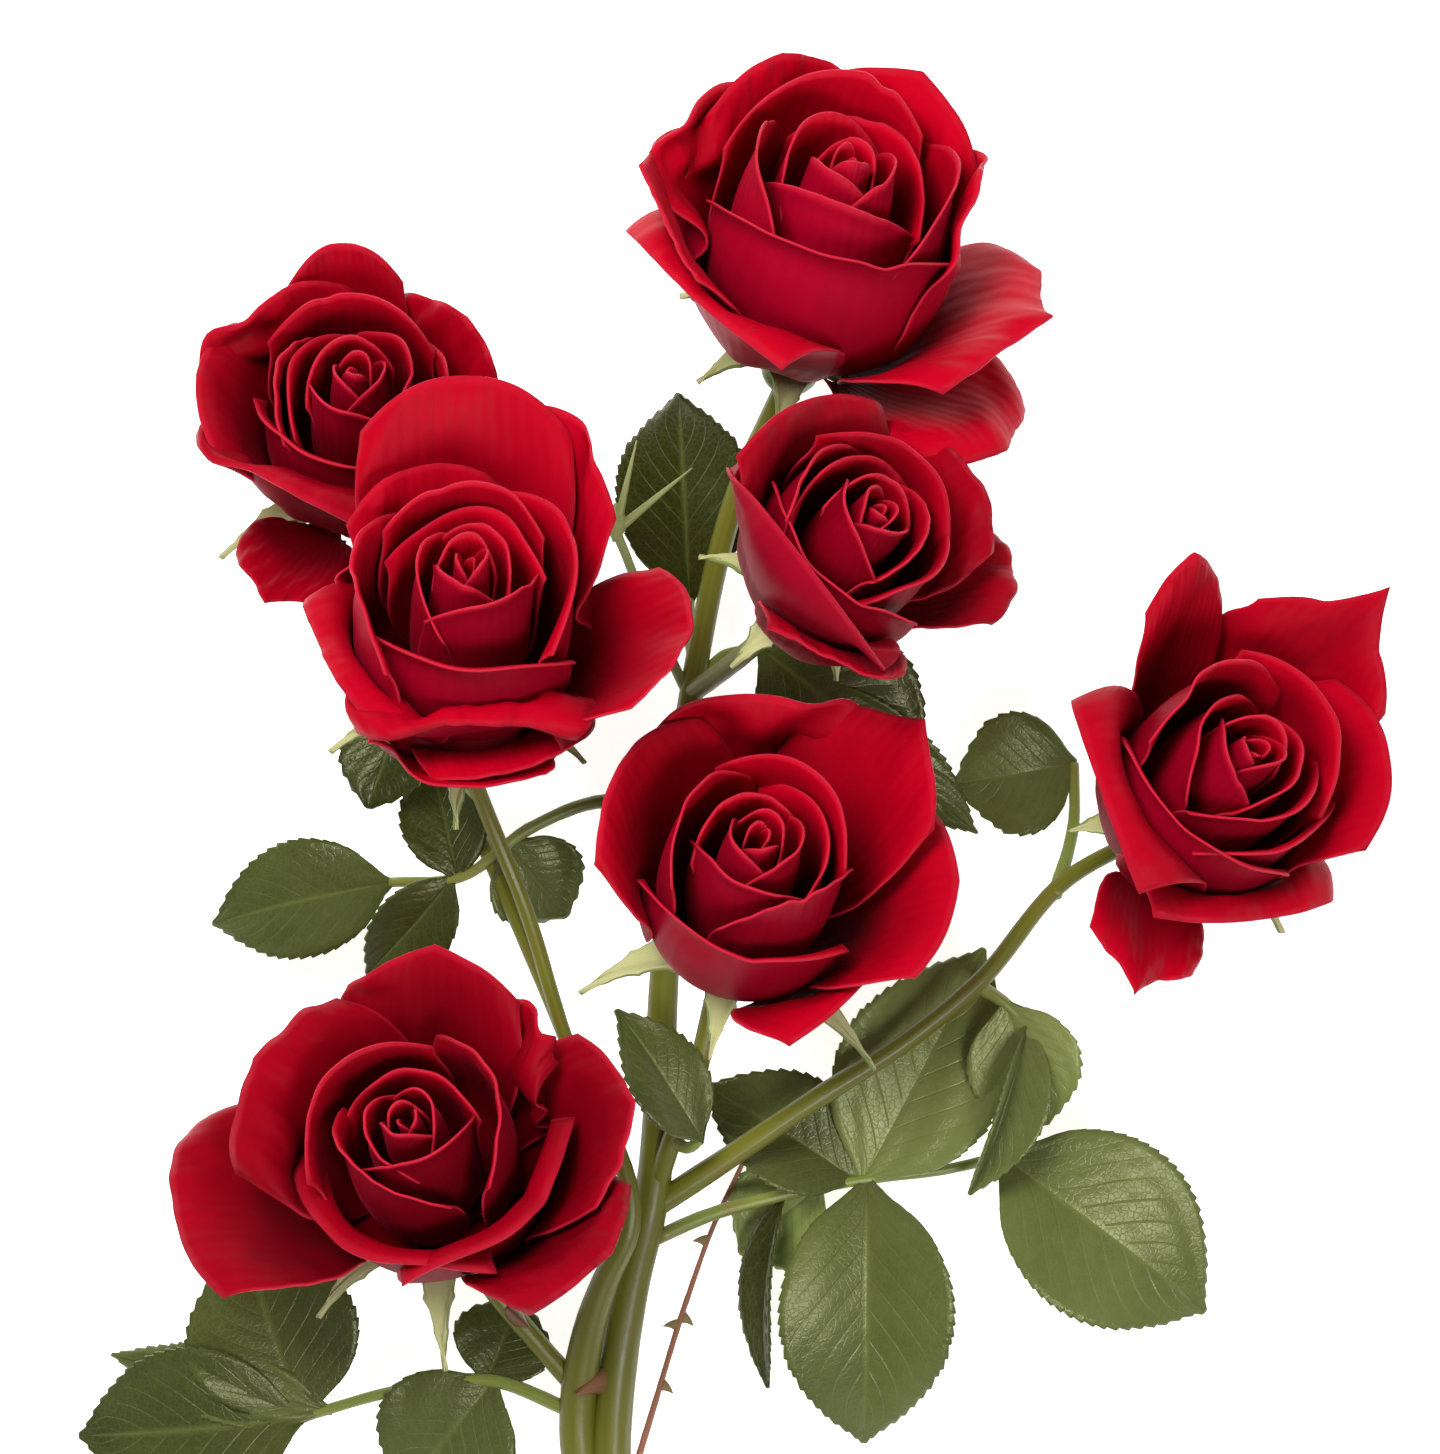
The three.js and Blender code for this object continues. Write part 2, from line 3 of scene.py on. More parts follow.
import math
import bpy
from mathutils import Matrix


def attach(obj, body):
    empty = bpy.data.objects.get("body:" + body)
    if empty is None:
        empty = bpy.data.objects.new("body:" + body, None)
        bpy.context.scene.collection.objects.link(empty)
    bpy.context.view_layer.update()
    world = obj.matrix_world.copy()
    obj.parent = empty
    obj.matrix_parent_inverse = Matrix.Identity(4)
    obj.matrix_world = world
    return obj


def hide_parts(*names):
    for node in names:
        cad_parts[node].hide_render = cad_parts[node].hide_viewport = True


bl_info = {
    "name": "Cut Spray Rose",
    "version": (1, 0, 0),
    "blender": (4, 5, 0),
    "location": "3D View > Sidebar > Rose",
    "description": "Builds the petals, calyces, stems and leaves of a cut spray rose",
    "category": "Object",
}

import bmesh
import bpy
import numpy as np
from mathutils import Vector

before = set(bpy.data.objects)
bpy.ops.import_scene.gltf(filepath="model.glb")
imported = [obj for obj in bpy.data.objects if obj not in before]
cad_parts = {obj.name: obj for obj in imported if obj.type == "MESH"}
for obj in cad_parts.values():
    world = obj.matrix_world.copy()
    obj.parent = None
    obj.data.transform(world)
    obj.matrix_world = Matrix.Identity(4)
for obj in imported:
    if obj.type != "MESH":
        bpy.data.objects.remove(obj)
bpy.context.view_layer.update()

MM = 0.001
UP = np.array([0.0, 0.0, 1.0])

# ---- Layout of the spray, in millimetres before it is centred, as the CAD source has it. ----

FORK = (-15, -128, 8)
BARE_STEM = 172
STEM_RADIUS = 3.4
TOP_BASE = (9.4, 49.3, 14.5)
LEFT_BASE = (-37.1, -1.8, 34)
CUT_END = (FORK[0] - 2, FORK[1] - BARE_STEM, STEM_RADIUS)
HIP_RADIUS = 4.5
HIP_HEIGHT = 8.5
PETAL_ROOT = 5.2
PETAL_ROOT_WIDTH = 6.5
LAYER_STEP = 1.3
PETAL_GAP = 0.7
FARTHEST_PUSH = 5.0
FURLED_PETALS = 9
SPIRAL_TURN = 137.5
SEPAL_LENGTH = 21
SEPAL_HALF_WIDTH = 3.2
LOBED_HALF_WIDTH = 4.4
TOOTH_PITCH = 1.7
SIDE_VEINS = 9.0
VEIN_SLANT = 0.36
LOWEST_LEAF = 0.5
STEM_ROW = 2.2

# The looks' camera and lights, in metres from the layout's middle.
CAMERA_TARGET = (0, 0, 45)
CAMERA_RISE = 0.848
LIGHT_TARGET = (0, 0, 40)
LAMPS = [("key", (-0.3, 0.4, 0.8), 0.5, 12.0), ("fill", (0.3, -0.42, 0.8), 0.35, 5.0)]

# Each bloom: where its hip starts, the heading and the rise of its axis, the height and radius of its furled
# heart, the turn of its spiral, how dark its petals are (painted shade, which darkens the whole bloom and
# carries the shaded foot of each petal further up), its sepals as [azimuth, share of SEPAL_LENGTH], its large
# wrapping petals as [azimuth, half wrap, height, radius share, flare] and its opened petals. An opened petal
# is [azimuth,
# layer, length, half width, lean, curl, cup, roll] in millimetres and degrees, then what makes its rim its
# own:
# point, rim roll, skew, ruffle. The extras are opened petals that have no CAD node.
BLOOMS = {
    "top": {
        "base": TOP_BASE, "heading": 74, "rise": 45, "height": 46, "radius": 16.5, "turn": 20, "dark": -0.1,
        "sepals": [(262, 0.62), (205, 0.6), (325, 0.6), (40, 0.6), (140, 0.9)],
        "wraps": [
            (258, 84, 42, 1.0, 1.4), (352, 60, 45, 0.98, 0.6), (100, 66, 48, 0.95, 0.6),
            (180, 60, 46, 0.86, 0.6),
        ],
        "petals": [
            (186, 1, 36, 17, 26, 38, 46, 10, 0.1, 10, 0.1, 0.5),
            (222, 1, 31, 18, 27, 58, 56, 30, 0.0, 60, -0.2, 0.5),
            (114, 1, 40, 14, 12, 26, 50, 20, 0.02, 20, 0.1, 0.8),
            (60, 0, 41, 15, 10, 24, 50, 20, 0.04, 20, 0.2, 0.5),
            (-24, 1, 33, 19, 38, 60, 40, 40, 0.14, 30, 0.2, 0.8),
        ],
        "extras": [
            (146, 1, 38, 13, 16, 28, 50, 20, 0.0, 20, 0.1, 0.5),
            (4, 0, 38, 12, 10, 20, 50, 20, 0.04, 20, 0.1, 0.6),
            (-42, 2, 31, 13, 62, 104, 40, 40, 0.04, 40, 0, 1),
        ],
    },
    "upper_left": {
        "base": (-52.1, 29.7, 9.8), "heading": 88, "rise": 56,
        "height": 38, "radius": 13, "turn": 140, "dark": 0.6,
        "sepals": [(202, 0.95), (150, 1.2), (280, 0.7), (80, 0.9), (15, 0.8)],
        "wraps": [
            (250, 80, 34, 1.02, 1.2), (350, 66, 35, 0.98, 1.0), (90, 66, 39, 0.97, 0.8),
            (170, 60, 37, 0.88, 0.8),
        ],
        "petals": [
            (97, 1, 34, 9, 18, 26, 36, 20, 0.0, 10, 0.2, 0.8),
            (42, 1, 27, 12, 20, 36, 40, 30, 0.02, 30, 0.1, 1.2),
            (176, 0, 30, 14, 24, 40, 48, 30, 0.02, 30, -0.1, 0.6),
            (236, 0, 29, 16, 14, 60, 56, 40, 0.00, 50, 0.1, 0.6),
        ],
        "extras": [
            (132, 0, 31, 12, 14, 26, 46, 20, 0.0, 20, 0, 0.6),
            (240, 2, 16, 9, 74, 96, 30, 30, 0.16, 20, 0.2, 1),
        ],
    },
    "left": {
        "base": LEFT_BASE, "heading": 84, "rise": 50, "height": 40, "radius": 14, "turn": 60, "dark": 0.3,
        "sepals": [(198, 0.8), (270, 0.8), (342, 0.8), (54, 0.8), (126, 0.8)],
        "wraps": [
            (262, 74, 34, 1.02, 1.4), (20, 70, 40, 1.06, 1.2), (180, 60, 38, 1.1, 1.4),
            (90, 62, 42, 0.9, 0.6),
        ],
        "petals": [
            (92, 1, 43, 16, 23, 36, 46, 20, 0.0, 10, 0.1, 0.7),
            (204, 0, 25, 14, 24, 74, 50, 40, 0.02, 50, -0.2, 0.6),
            (-8, 1, 34, 14, 42, 44, 40, 10, 0.0, 0, 0.2, 0.4),
            (272, 1, 23, 15, 12, 94, 52, 40, 0.0, 50, 0.1, 0.8),
        ],
        "extras": [
            (60, 1, 38, 13, 19, 28, 46, 20, 0.0, 20, 0.1, 0.6),
            (112, 0, 32, 12, 17, 34, 50, 30, 0.0, 30, 0.2, 0.6),
            (266, 1, 13, 12, 46, 78, 24, 20, 0.0, 10, 0.1, 0.8),
            (292, 0, 18, 12, 52, 92, 24, 20, 0.0, 10, -0.1, 0.8),
        ],
    },
    "middle": {
        "base": (8.1, 14.3, 34), "heading": 48, "rise": 50,
        "height": 34, "radius": 12.5, "turn": 100, "dark": 0.7,
        "sepals": [(232, 0.6), (160, 0.6), (304, 0.45), (90, 0.7), (20, 0.7)],
        "wraps": [
            (230, 84, 30, 1.04, 1.0), (330, 70, 31, 0.9, 1.0), (60, 70, 34, 0.95, 1.0),
            (140, 60, 33, 0.9, 0.8),
        ],
        "petals": [
            (124, 0, 27, 14, 20, 38, 50, 30, 0.0, 30, 0.2, 0.9),
            (42, 1, 26, 13, 20, 38, 46, 40, 0.0, 40, 0.1, 1.2),
            (222, 0, 28, 20, 30, -40, 70, 0, 0.0, 0, -0.1, 0.5),
        ],
        "extras": [
            (8, 1, 25, 9, 46, 60, 40, 40, 0.0, 50, 0.1, 0.8),
            (264, 1, 21, 11, 30, 50, 40, 30, 0.0, 40, 0, 0.8),
        ],
    },
    "centre": {
        "base": (0.3, -34.7, 24), "heading": 75, "rise": 58,
        "height": 40, "radius": 14, "turn": 0, "dark": 0.3,
        "sepals": [(198, 0.95), (325, 1.2), (262, 0.7), (50, 0.8), (120, 0.8)],
        "wraps": [
            (254, 76, 32, 1.04, 1.2), (300, 60, 39, 0.82, 0.7), (50, 70, 41, 0.86, 0.8),
            (150, 66, 40, 0.86, 0.6),
        ],
        "petals": [
            (150, 0, 34, 15.5, 20, 30, 52, 20, 0.0, 20, 0.2, 0.6),
            (89, 1, 36, 15, 15, 26, 48, 20, 0.0, 20, -0.1, 0.5),
            (-2, 1, 32, 16, 35, 46, 50, 20, 0.02, 30, 0.2, 0.5),
            (-34, 1, 21, 17, 34, 62, 40, 30, 0.0, 30, 0.1, 0.6),
        ],
        "extras": [(40, 0, 38, 13, 28, 38, 44, 20, 0.08, 20, 0.1, 0.6)],
    },
    "lower_left": {
        "base": (-38.8, -73.2, 18), "heading": 105, "rise": 58,
        "height": 38, "radius": 14, "turn": 200, "dark": 0.75,
        "sepals": [(215, 1.0), (270, 1.0), (335, 0.9), (54, 0.8), (126, 0.8)],
        "wraps": [
            (238, 70, 29, 1.05, 2.6), (318, 60, 30, 1.22, 2.4), (20, 66, 37, 0.98, 1.0),
            (140, 70, 38, 0.94, 1.0),
        ],
        "petals": [
            (82, 1, 35, 13, 25, 34, 42, 30, 0.04, 20, 0.1, 0.8),
            (152, 0, 33, 16, 22, 60, 52, 40, 0.04, 40, 0.2, 0.7),
            (190, 1, 34, 16, 52, 60, 50, 30, 0.0, 50, -0.2, 0.7),
            (6, 1, 32, 15, 42, 46, 42, 10, 0.06, 10, 0.3, 0.6),
        ],
        "extras": [
            (-34, 1, 33, 13, 42, 66, 46, 60, 0.05, 50, 0.1, 1.0),
            (54, 1, 29, 9, 24, 40, 40, 40, 0.0, 40, 0, 0.9),
        ],
    },
    "right": {
        "base": (60.2, -16.5, 13), "heading": 42, "rise": 58,
        "height": 40, "radius": 14, "turn": 250, "dark": 0.4,
        "sepals": [(334, 1.15), (262, 0.7), (190, 0.5), (118, 0.8), (46, 0.8)],
        "wraps": [
            (236, 74, 34, 1.06, 1.2), (300, 60, 35, 1.0, 1.2), (30, 66, 40, 0.96, 1.2),
            (120, 66, 41, 0.9, 1.0),
        ],
        "petals": [
            (110, 1, 38, 7, 26, 38, 26, 20, 0.04, 20, 0.1, 0.5),
            (54, 1, 38, 13, 22, 32, 40, 20, 0.2, 20, 0.2, 0.5),
            (200, 0, 30, 16, 18, 80, 62, 40, 0.0, 50, -0.3, 0.6),
            (284, 1, 23, 16, 26, 66, 54, 30, 0.0, 40, 0.1, 0.8),
        ],
        "extras": [
            (254, 2, 21, 9, 66, 82, 36, 30, 0.2, 20, 0.1, 0.8),
            (8, 0, 33, 14, 21, 32, 50, 20, 0.0, 30, 0, 0.5),
        ],
    },
}

# Stems: points along the middle, radii at even shares of the length, prickles as (share, azimuth).
STEMS = {
    "main_stem": (
        [CUT_END, (-15.5, -240, 3.9), (-17, -180, 5), FORK, (-15.7, -101.8, 11), (-12.6, -79.5, 14),
         (-10.5, -71.1, 16), (-8, -35, 14), (-4.2, 4.5, 16), (2.8, 34.6, 15), TOP_BASE],
        (STEM_RADIUS, STEM_RADIUS, 3.1, 2.8, 1.9, 1.6),
        [(0.14, 20), (0.26, 190), (0.37, 330), (0.47, 160), (0.58, 40), (0.8, 200)],
    ),
    "side_stem": (
        [FORK, (-20.7, -101.8, 11), (-16.4, -79.5, 19), (-13.3, -73.2, 21.5), (-23, -42.6, 21),
         (-28.3, -25.2, 22), (-33.2, -12.7, 26), LEFT_BASE],
        (2.7, 2.6, 1.3, 1.1, 1.2),
        [(0.2, 180)],
    ),
    "stalk_upper_left": ([(-22.5, -44, 21), (-33, -20, 14), (-45, 5, 9), "upper_left"], (1.1, 1.2), []),
    "stalk_middle": ([(-4.2, 4.9, 16), (1.6, 9, 24), "middle"], (1.5, 1.4), []),
    "stalk_centre": (
        [(-9.8, -68.3, 16), (-6.9, -59.5, 20), (-3.9, -51.9, 21), (-1.3, -41, 22), "centre"],
        (1.5, 1.4),
        [],
    ),
    "stalk_lower_left": (
        [(-20, -97, 12), (-26, -90, 13), (-33, -81.5, 15), "lower_left"],
        (1.5, 1.4),
        [(0.5, 100)],
    ),
    "stalk_right": (
        [(-9.8, -69.6, 16), (0.3, -62.9, 17), (14, -53.6, 18), (27.2, -45.2, 18), (37.1, -37.1, 18),
         (51.1, -21.5, 14), "right"],
        (1.8, 1.4, 1.2),
        [(0.35, 250)],
    ),
}

# Leaves: the petiole's points, and leaflets as (base, tip, width, fold, bow, bank, tone). Tone is 0 for a
# dark leaflet and goes towards 1 for a lighter and yellower one; it is partly the leaflet's own green and
# partly painted light and shade, low for leaflets in the blooms' shadow and high for lit, glossy ones.
LEAVES = {
    "leaf_right_low": (
        [
            (-9.2, -74, 15), (-1.4, -70.8, 13), (7, -68.6, 11.5), (20.4, -66, 10), (34, -64.4, 8.5),
            (41, -62.8, 7.5),
        ],
        [
            ((41, -62.8, 7.5), (72.5, -87, 0.5), 28, 10, 22, -10, 0.42),
            ((21.4, -66, 10), (21.2, -107, 0.5), 26, 12, 24, 0, 0.3),
            ((20.9, -66, 10), (39, -31.5, 8), 25, 8, 16, 0, 0.75),
            ((14.5, -67, 9.5), (2.5, -77.5, 3.5), 17, 8, 10, 10, 1.0),
            ((19.6, -66, 10), (-3, -52, 9.5), 18, 14, 14, 20, 0.2),
            ((9.5, -68, 11), (7, -97.5, 4.5), 9.5, 30, 12, 55, 0.0),
        ],
    ),
    "leaf_right_stalk": (
        [(37, -37.2, 18), (41, -39.8, 15.5), (44.8, -43.4, 15)],
        [
            ((44.4, -43, 15), (36, -68.5, 13), 11, 38, 12, -35, 0.4),
            ((41.5, -40.2, 15.5), (47.8, -58.5, 9.5), 17, 8, 14, 10, 0.8),
        ],
    ),
    "leaf_right_calyx": (
        [(48.5, -24.5, 15), (51.6, -14, 9), (51.8, -5.3, 6.5)],
        [((51.8, -5.3, 6.5), (33.5, -8.6, 5), 18.5, 10, 14, 0, 0.35)],
    ),
    "leaf_middle": (
        [(-4.2, 4.6, 16), (1, 10.5, 15), (6, 11.2, 15.5)],
        [
            ((6, 11.2, 15.5), (30, -9, 12), 25, 10, 14, -12, 0.1),
            ((12, 6.5, 15.5), (38.2, -16, 6.5), 12, 12, 14, 0, 0.2),
        ],
    ),
    "leaf_behind_top": (
        [(-3.5, 8.5, 16), (-4.4, 14, 14.5), (-4.4, 18.5, 12.5)],
        # Painted shade: tone 0, as this leaflet lies in the top bloom's shadow.
        [((-4.4, 18.5, 12.5), (-6.2, 50, 0.5), 20, 10, 18, 0, 0.0)],
    ),
    "leaf_left": (
        [(-6, -12, 14.5), (-17.5, -10.8, 15.5), (-27.4, -14.6, 15.5), (-37.7, -21.8, 14), (-48, -22.6, 12)],
        [
            ((-48, -22.6, 12), (-75, -29, 6), 17.5, 10, 16, 10, 0.15),
            ((-38, -21.9, 14), (-42.5, -2.5, 12), 13, 10, 10, 0, 0.05),
            ((-39, -22, 14), (-52, -36.5, 8.5), 12, 12, 14, -15, 0.1),
            ((-31, -17, 15), (-22, -28, 9), 15, 6, 12, 0, 0.3),
        ],
    ),
    "leaf_left_upper": (
        [(-34.6, -9.6, 28), (-40.5, -4, 23), (-46.5, 1.2, 19)],
        [((-46.5, 1.2, 19), (-51, -12.2, 17), 13, 8, 10, 0, 0.05)],
    ),
    "leaf_lower_left": (
        [(-20.5, -100, 11.5), (-33.6, -95.2, 10), (-47.6, -97, 8.5), (-61.3, -101, 7)],
        [
            ((-61.3, -101, 7), (-95.5, -104.5, 0.5), 25, 10, 20, 0, 0.1),
            ((-61, -101, 7), (-70.5, -74, 4), 26, 8, 18, 0, 0.15),
            ((-57, -100, 7.3), (-90, -92, 3), 11, 10, 12, 0, 0.3),
            ((-33, -95.3, 10), (-47.5, -113, 2), 22, 8, 18, 0, 0.2),
            ((-34, -95.3, 10), (-29, -83, 6.5), 15, 8, 8, 0, 0.1),
        ],
    ),
    "bract_centre": (
        [(-6.9, -59.5, 20), (-4.4, -60.4, 22.6), (-2.8, -59.2, 23.6)],
        [((-2.8, -59.2, 23.6), (-15.3, -40, 26), 13, 12, 12, 25, 0.15)],
    ),
}

TWIG = [(-13.5, -112, 10), (-8.4, -95, 8.5), (-5, -84, 9), (-1, -73, 8), (3.5, -63.3, 7.5)]
TWIG_PRICKLES = [(0.32, 180), (0.5, 10), (0.52, 190), (0.75, 20)]
BUD = (-15, 28.3, 19)
BUD_STALK = [(-5, 5.5, 16), (-10, 16, 18), BUD]
BUD_SEPALS = [(11, 9), (3, 13), (-5, 8)]


class RoseSettings(bpy.types.PropertyGroup):
    petal_thickness: bpy.props.FloatProperty(
        name="Petal thickness", description="Thickness of one petal", default=0.00035, unit="LENGTH"
    )
    leaf_thickness: bpy.props.FloatProperty(
        name="Leaf thickness", description="Thickness of a leaflet", default=0.0004, unit="LENGTH"
    )
    sepal_thickness: bpy.props.FloatProperty(
        name="Sepal thickness", description="Thickness of a sepal", default=0.0005, unit="LENGTH"
    )
    prickle_height: bpy.props.FloatProperty(
        name="Prickle height", description="How far a prickle stands out of the stem",
        default=0.0045, unit="LENGTH",
    )
    tooth_depth: bpy.props.FloatProperty(
        name="Tooth depth", description="Depth of the teeth along a leaflet's edge",
        default=0.0005, unit="LENGTH",
    )
    petal_colour: bpy.props.FloatVectorProperty(
        name="Petal face", description="Lit colour of a petal's face", subtype="COLOR",
        default=(0.4, 0.0, 0.01),
    )
    # Painted shade: the dark red that a petal is painted towards at its foot, on the inner furled petals and
    # over the darker blooms.
    petal_shade_colour: bpy.props.FloatVectorProperty(
        name="Petal deep", description="Colour low in a petal", subtype="COLOR", default=(0.11, 0.0, 0.003)
    )
    petal_back_colour: bpy.props.FloatVectorProperty(
        name="Petal back", description="Colour of a petal's back", subtype="COLOR",
        default=(0.33, 0.001, 0.016),
    )
    # Painted highlight: the lighter red of the petals' thin rims.
    petal_rim_colour: bpy.props.FloatVectorProperty(
        name="Petal rim", description="Colour of a petal's thin rim", subtype="COLOR",
        default=(0.42, 0.012, 0.03),
    )
    leaf_colour: bpy.props.FloatVectorProperty(
        name="Leaf", description="Colour of a dark leaflet's top", subtype="COLOR",
        default=(0.017, 0.022, 0.002),
    )
    leaf_pale_colour: bpy.props.FloatVectorProperty(
        name="Pale leaf", description="Colour of a light leaflet's top", subtype="COLOR",
        default=(0.21, 0.25, 0.072),
    )
    leaf_under_colour: bpy.props.FloatVectorProperty(
        name="Leaf underside", description="Colour of a leaflet's underside", subtype="COLOR",
        default=(0.16, 0.2, 0.07),
    )
    vein_colour: bpy.props.FloatVectorProperty(
        name="Vein", description="Colour of the leaf veins", subtype="COLOR", default=(0.17, 0.2, 0.05)
    )
    stem_colour: bpy.props.FloatVectorProperty(
        name="Stem", description="Colour of the stems", subtype="COLOR", default=(0.12, 0.12, 0.01)
    )
    calyx_colour: bpy.props.FloatVectorProperty(
        name="Calyx", description="Colour of hips and sepals", subtype="COLOR", default=(0.32, 0.32, 0.14)
    )


# ---- Places and curves. ----


def frame_shift():
    """The move, in metres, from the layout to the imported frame, found at the main stem's cut end."""
    corners = [np.array(v.co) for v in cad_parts["main_stem"].data.vertices]
    lowest = min(p[1] for p in corners)
    ring = np.unique(np.round([p for p in corners if p[1] < lowest + 0.001], 6), axis=0)
    middle = (ring.min(axis=0) + ring.max(axis=0)) / 2
    return middle - np.array(CUT_END) * MM


SHIFT = frame_shift()


def place(point):
    """A layout point, or a bloom's base by name, in the frame and in metres."""
    if isinstance(point, str):
        point = BLOOMS[point]["base"]
    return np.array(point, float) * MM + SHIFT


def along(values, v):
    """The values at v, from 0 to 1, of a smooth curve through evenly spaced values."""
    values = np.array(values, float)
    last = len(values) - 1
    at = np.clip(v, 0, 1) * last
    i = np.minimum(np.floor(at).astype(int), last - 1)
    t = at - i
    a, b = values[i], values[i + 1]
    slope_a = (b - values[np.maximum(i - 1, 0)]) / 2
    slope_b = (values[np.minimum(i + 2, last)] - a) / 2
    t2, t3 = t * t, t * t * t
    start = (2 * t3 - 3 * t2 + 1) * a + (t3 - 2 * t2 + t) * slope_a
    return start + (3 * t2 - 2 * t3) * b + (t3 - t2) * slope_b


def smooth_path(points, count):
    """Evenly spaced points on a smooth curve through points, and its tangents."""
    points = np.array(points, float)
    gaps = np.linalg.norm(np.diff(points, axis=0), axis=1)
    knots = np.concatenate([[0], np.cumsum(gaps)]) / gaps.sum()
    slopes = np.gradient(points, knots, axis=0)
    fine = np.linspace(0, 1, 40 * len(points))
    k = np.clip(np.searchsorted(knots, fine, side="right") - 1, 0, len(points) - 2)
    width = (knots[k + 1] - knots[k])[:, None]
    t = ((fine - knots[k]) / width[:, 0])[:, None]
    curve = (
        (2 * t**3 - 3 * t**2 + 1) * points[k]
        + (t**3 - 2 * t**2 + t) * width * slopes[k]
        + (3 * t**2 - 2 * t**3) * points[k + 1]
        + (t**3 - t**2) * width * slopes[k + 1]
    )
    run = np.concatenate([[0], np.cumsum(np.linalg.norm(np.diff(curve, axis=0), axis=1))])
    even = np.linspace(0, run[-1], count)
    centres = np.stack([np.interp(even, run, curve[:, axis]) for axis in range(3)], axis=1)
    tangents = np.gradient(centres, axis=0)
    return centres, tangents / np.linalg.norm(tangents, axis=1)[:, None]


def ripple(u, v, seed, pace=1.0):
    """A smooth uneven value, about -1 to 1, over a sheet."""
    chance = np.random.default_rng(seed)
    total = np.zeros_like(u)
    for octave in range(1, 5):
        across, up = chance.normal(0, 1.3 * pace, 2) * octave
        total += np.sin(across * u * 3 + up * v * 3 + chance.uniform(0, 2 * math.pi)) / octave
    return total / 2


def turn_about_axis(points, degrees):
    """The points turned about the z axis."""
    x, y, z = points.T
    c, s = math.cos(math.radians(degrees)), math.sin(math.radians(degrees))
    return np.stack([x * c - y * s, x * s + y * c, z], axis=1)


# ---- Surfaces. Each takes u from -1 to 1 across and v from 0 to 1 along, and gives millimetres. ----


def near(v, start):
    """0 up to start, then rising evenly to 1 where v is 1."""
    return np.clip((v - start) / (1 - start), 0, 1)


def blade_points(blade, u, v):
    """A curved blade that starts at radius root from the z axis and climbs at angle lean from that axis."""
    steps = 20
    mid = (np.arange(steps) + 0.5)[:, None] / steps
    share = np.abs(u)
    side = np.where(u < 0, -1.0, 1.0)
    length = blade["length"] * (1 - blade["shoulder"] * share**2.4)
    length = length * (1 + blade.get("point", 0) * np.clip(1 - share * 2.2, 0, 1) ** 1.5)
    at = mid * v

    def lean(height):
        return np.radians(along(blade["lean"], height) + blade.get("rim", 0) * near(height, 0.78) ** 2)

    r = blade["root"] + length * v * np.sin(lean(at)).mean(axis=0)
    h = blade["foot"] + length * v * np.cos(lean(at)).mean(axis=0)
    here = lean(v)
    half = along(blade["outline"], v) * blade["half_width"]
    s = mid * share
    roll = along(blade["roll"], v) * (1 + blade.get("skew", 0) * side * 2)
    turn = np.radians(blade["fold"] + along(blade["cup"], v) * s - roll * s**4)
    out = half * share * np.cos(turn).mean(axis=0)
    inward = half * share * np.sin(turn).mean(axis=0)
    points = np.stack([r - inward * np.cos(here), side * out, h + inward * np.sin(here)], axis=1)
    return turn_about_axis(points, blade["azimuth"])


def normals_of(surface, u, v):
    """The unit normals of a surface, from the steps to its near points."""
    step = 1e-3
    across = surface(u + step, v) - surface(u - step, v)
    up = surface(u, v + step) - surface(u, v - step)
    normal = np.cross(across, up)
    return normal / np.maximum(np.linalg.norm(normal, axis=1), 1e-12)[:, None]


def opened_petal(row, seed):
    """An opened outer petal as a surface in its bloom's own frame."""
    azimuth, layer, length, half_width, lean, curl, cup, roll, point, rim, skew, ruffle = row
    blade = {
        "azimuth": azimuth, "length": length, "half_width": half_width,
        "root": PETAL_ROOT + LAYER_STEP * layer, "foot": HIP_HEIGHT + 0.9 - LAYER_STEP * layer * 0.4,
        "lean": [70, lean + 8, lean, (4 * lean + curl) / 5, curl],
        "outline": [PETAL_ROOT_WIDTH / 2 / half_width, 0.62, 0.92, 1, 0.94],
        "cup": [50, cup, cup, cup * 0.8, cup * 0.5], "roll": [0, 0, roll * 0.3, roll * 0.7, roll],
        "fold": 0, "shoulder": 0.2, "point": point, "rim": rim, "skew": skew,
    }

    def surface(u, v):
        points = blade_points(blade, u, v)
        normal = normals_of(lambda a, b: blade_points(blade, a, b), u, v)
        edge = np.maximum(np.abs(u), v) ** 3
        wave = ripple(u, v, seed) * (0.25 + 0.75 * edge) * v + 0.5 * ripple(u * 2.5, v * 2.5, seed + 1) * edge
        return points + normal * (wave * ruffle)[:, None]

    return surface


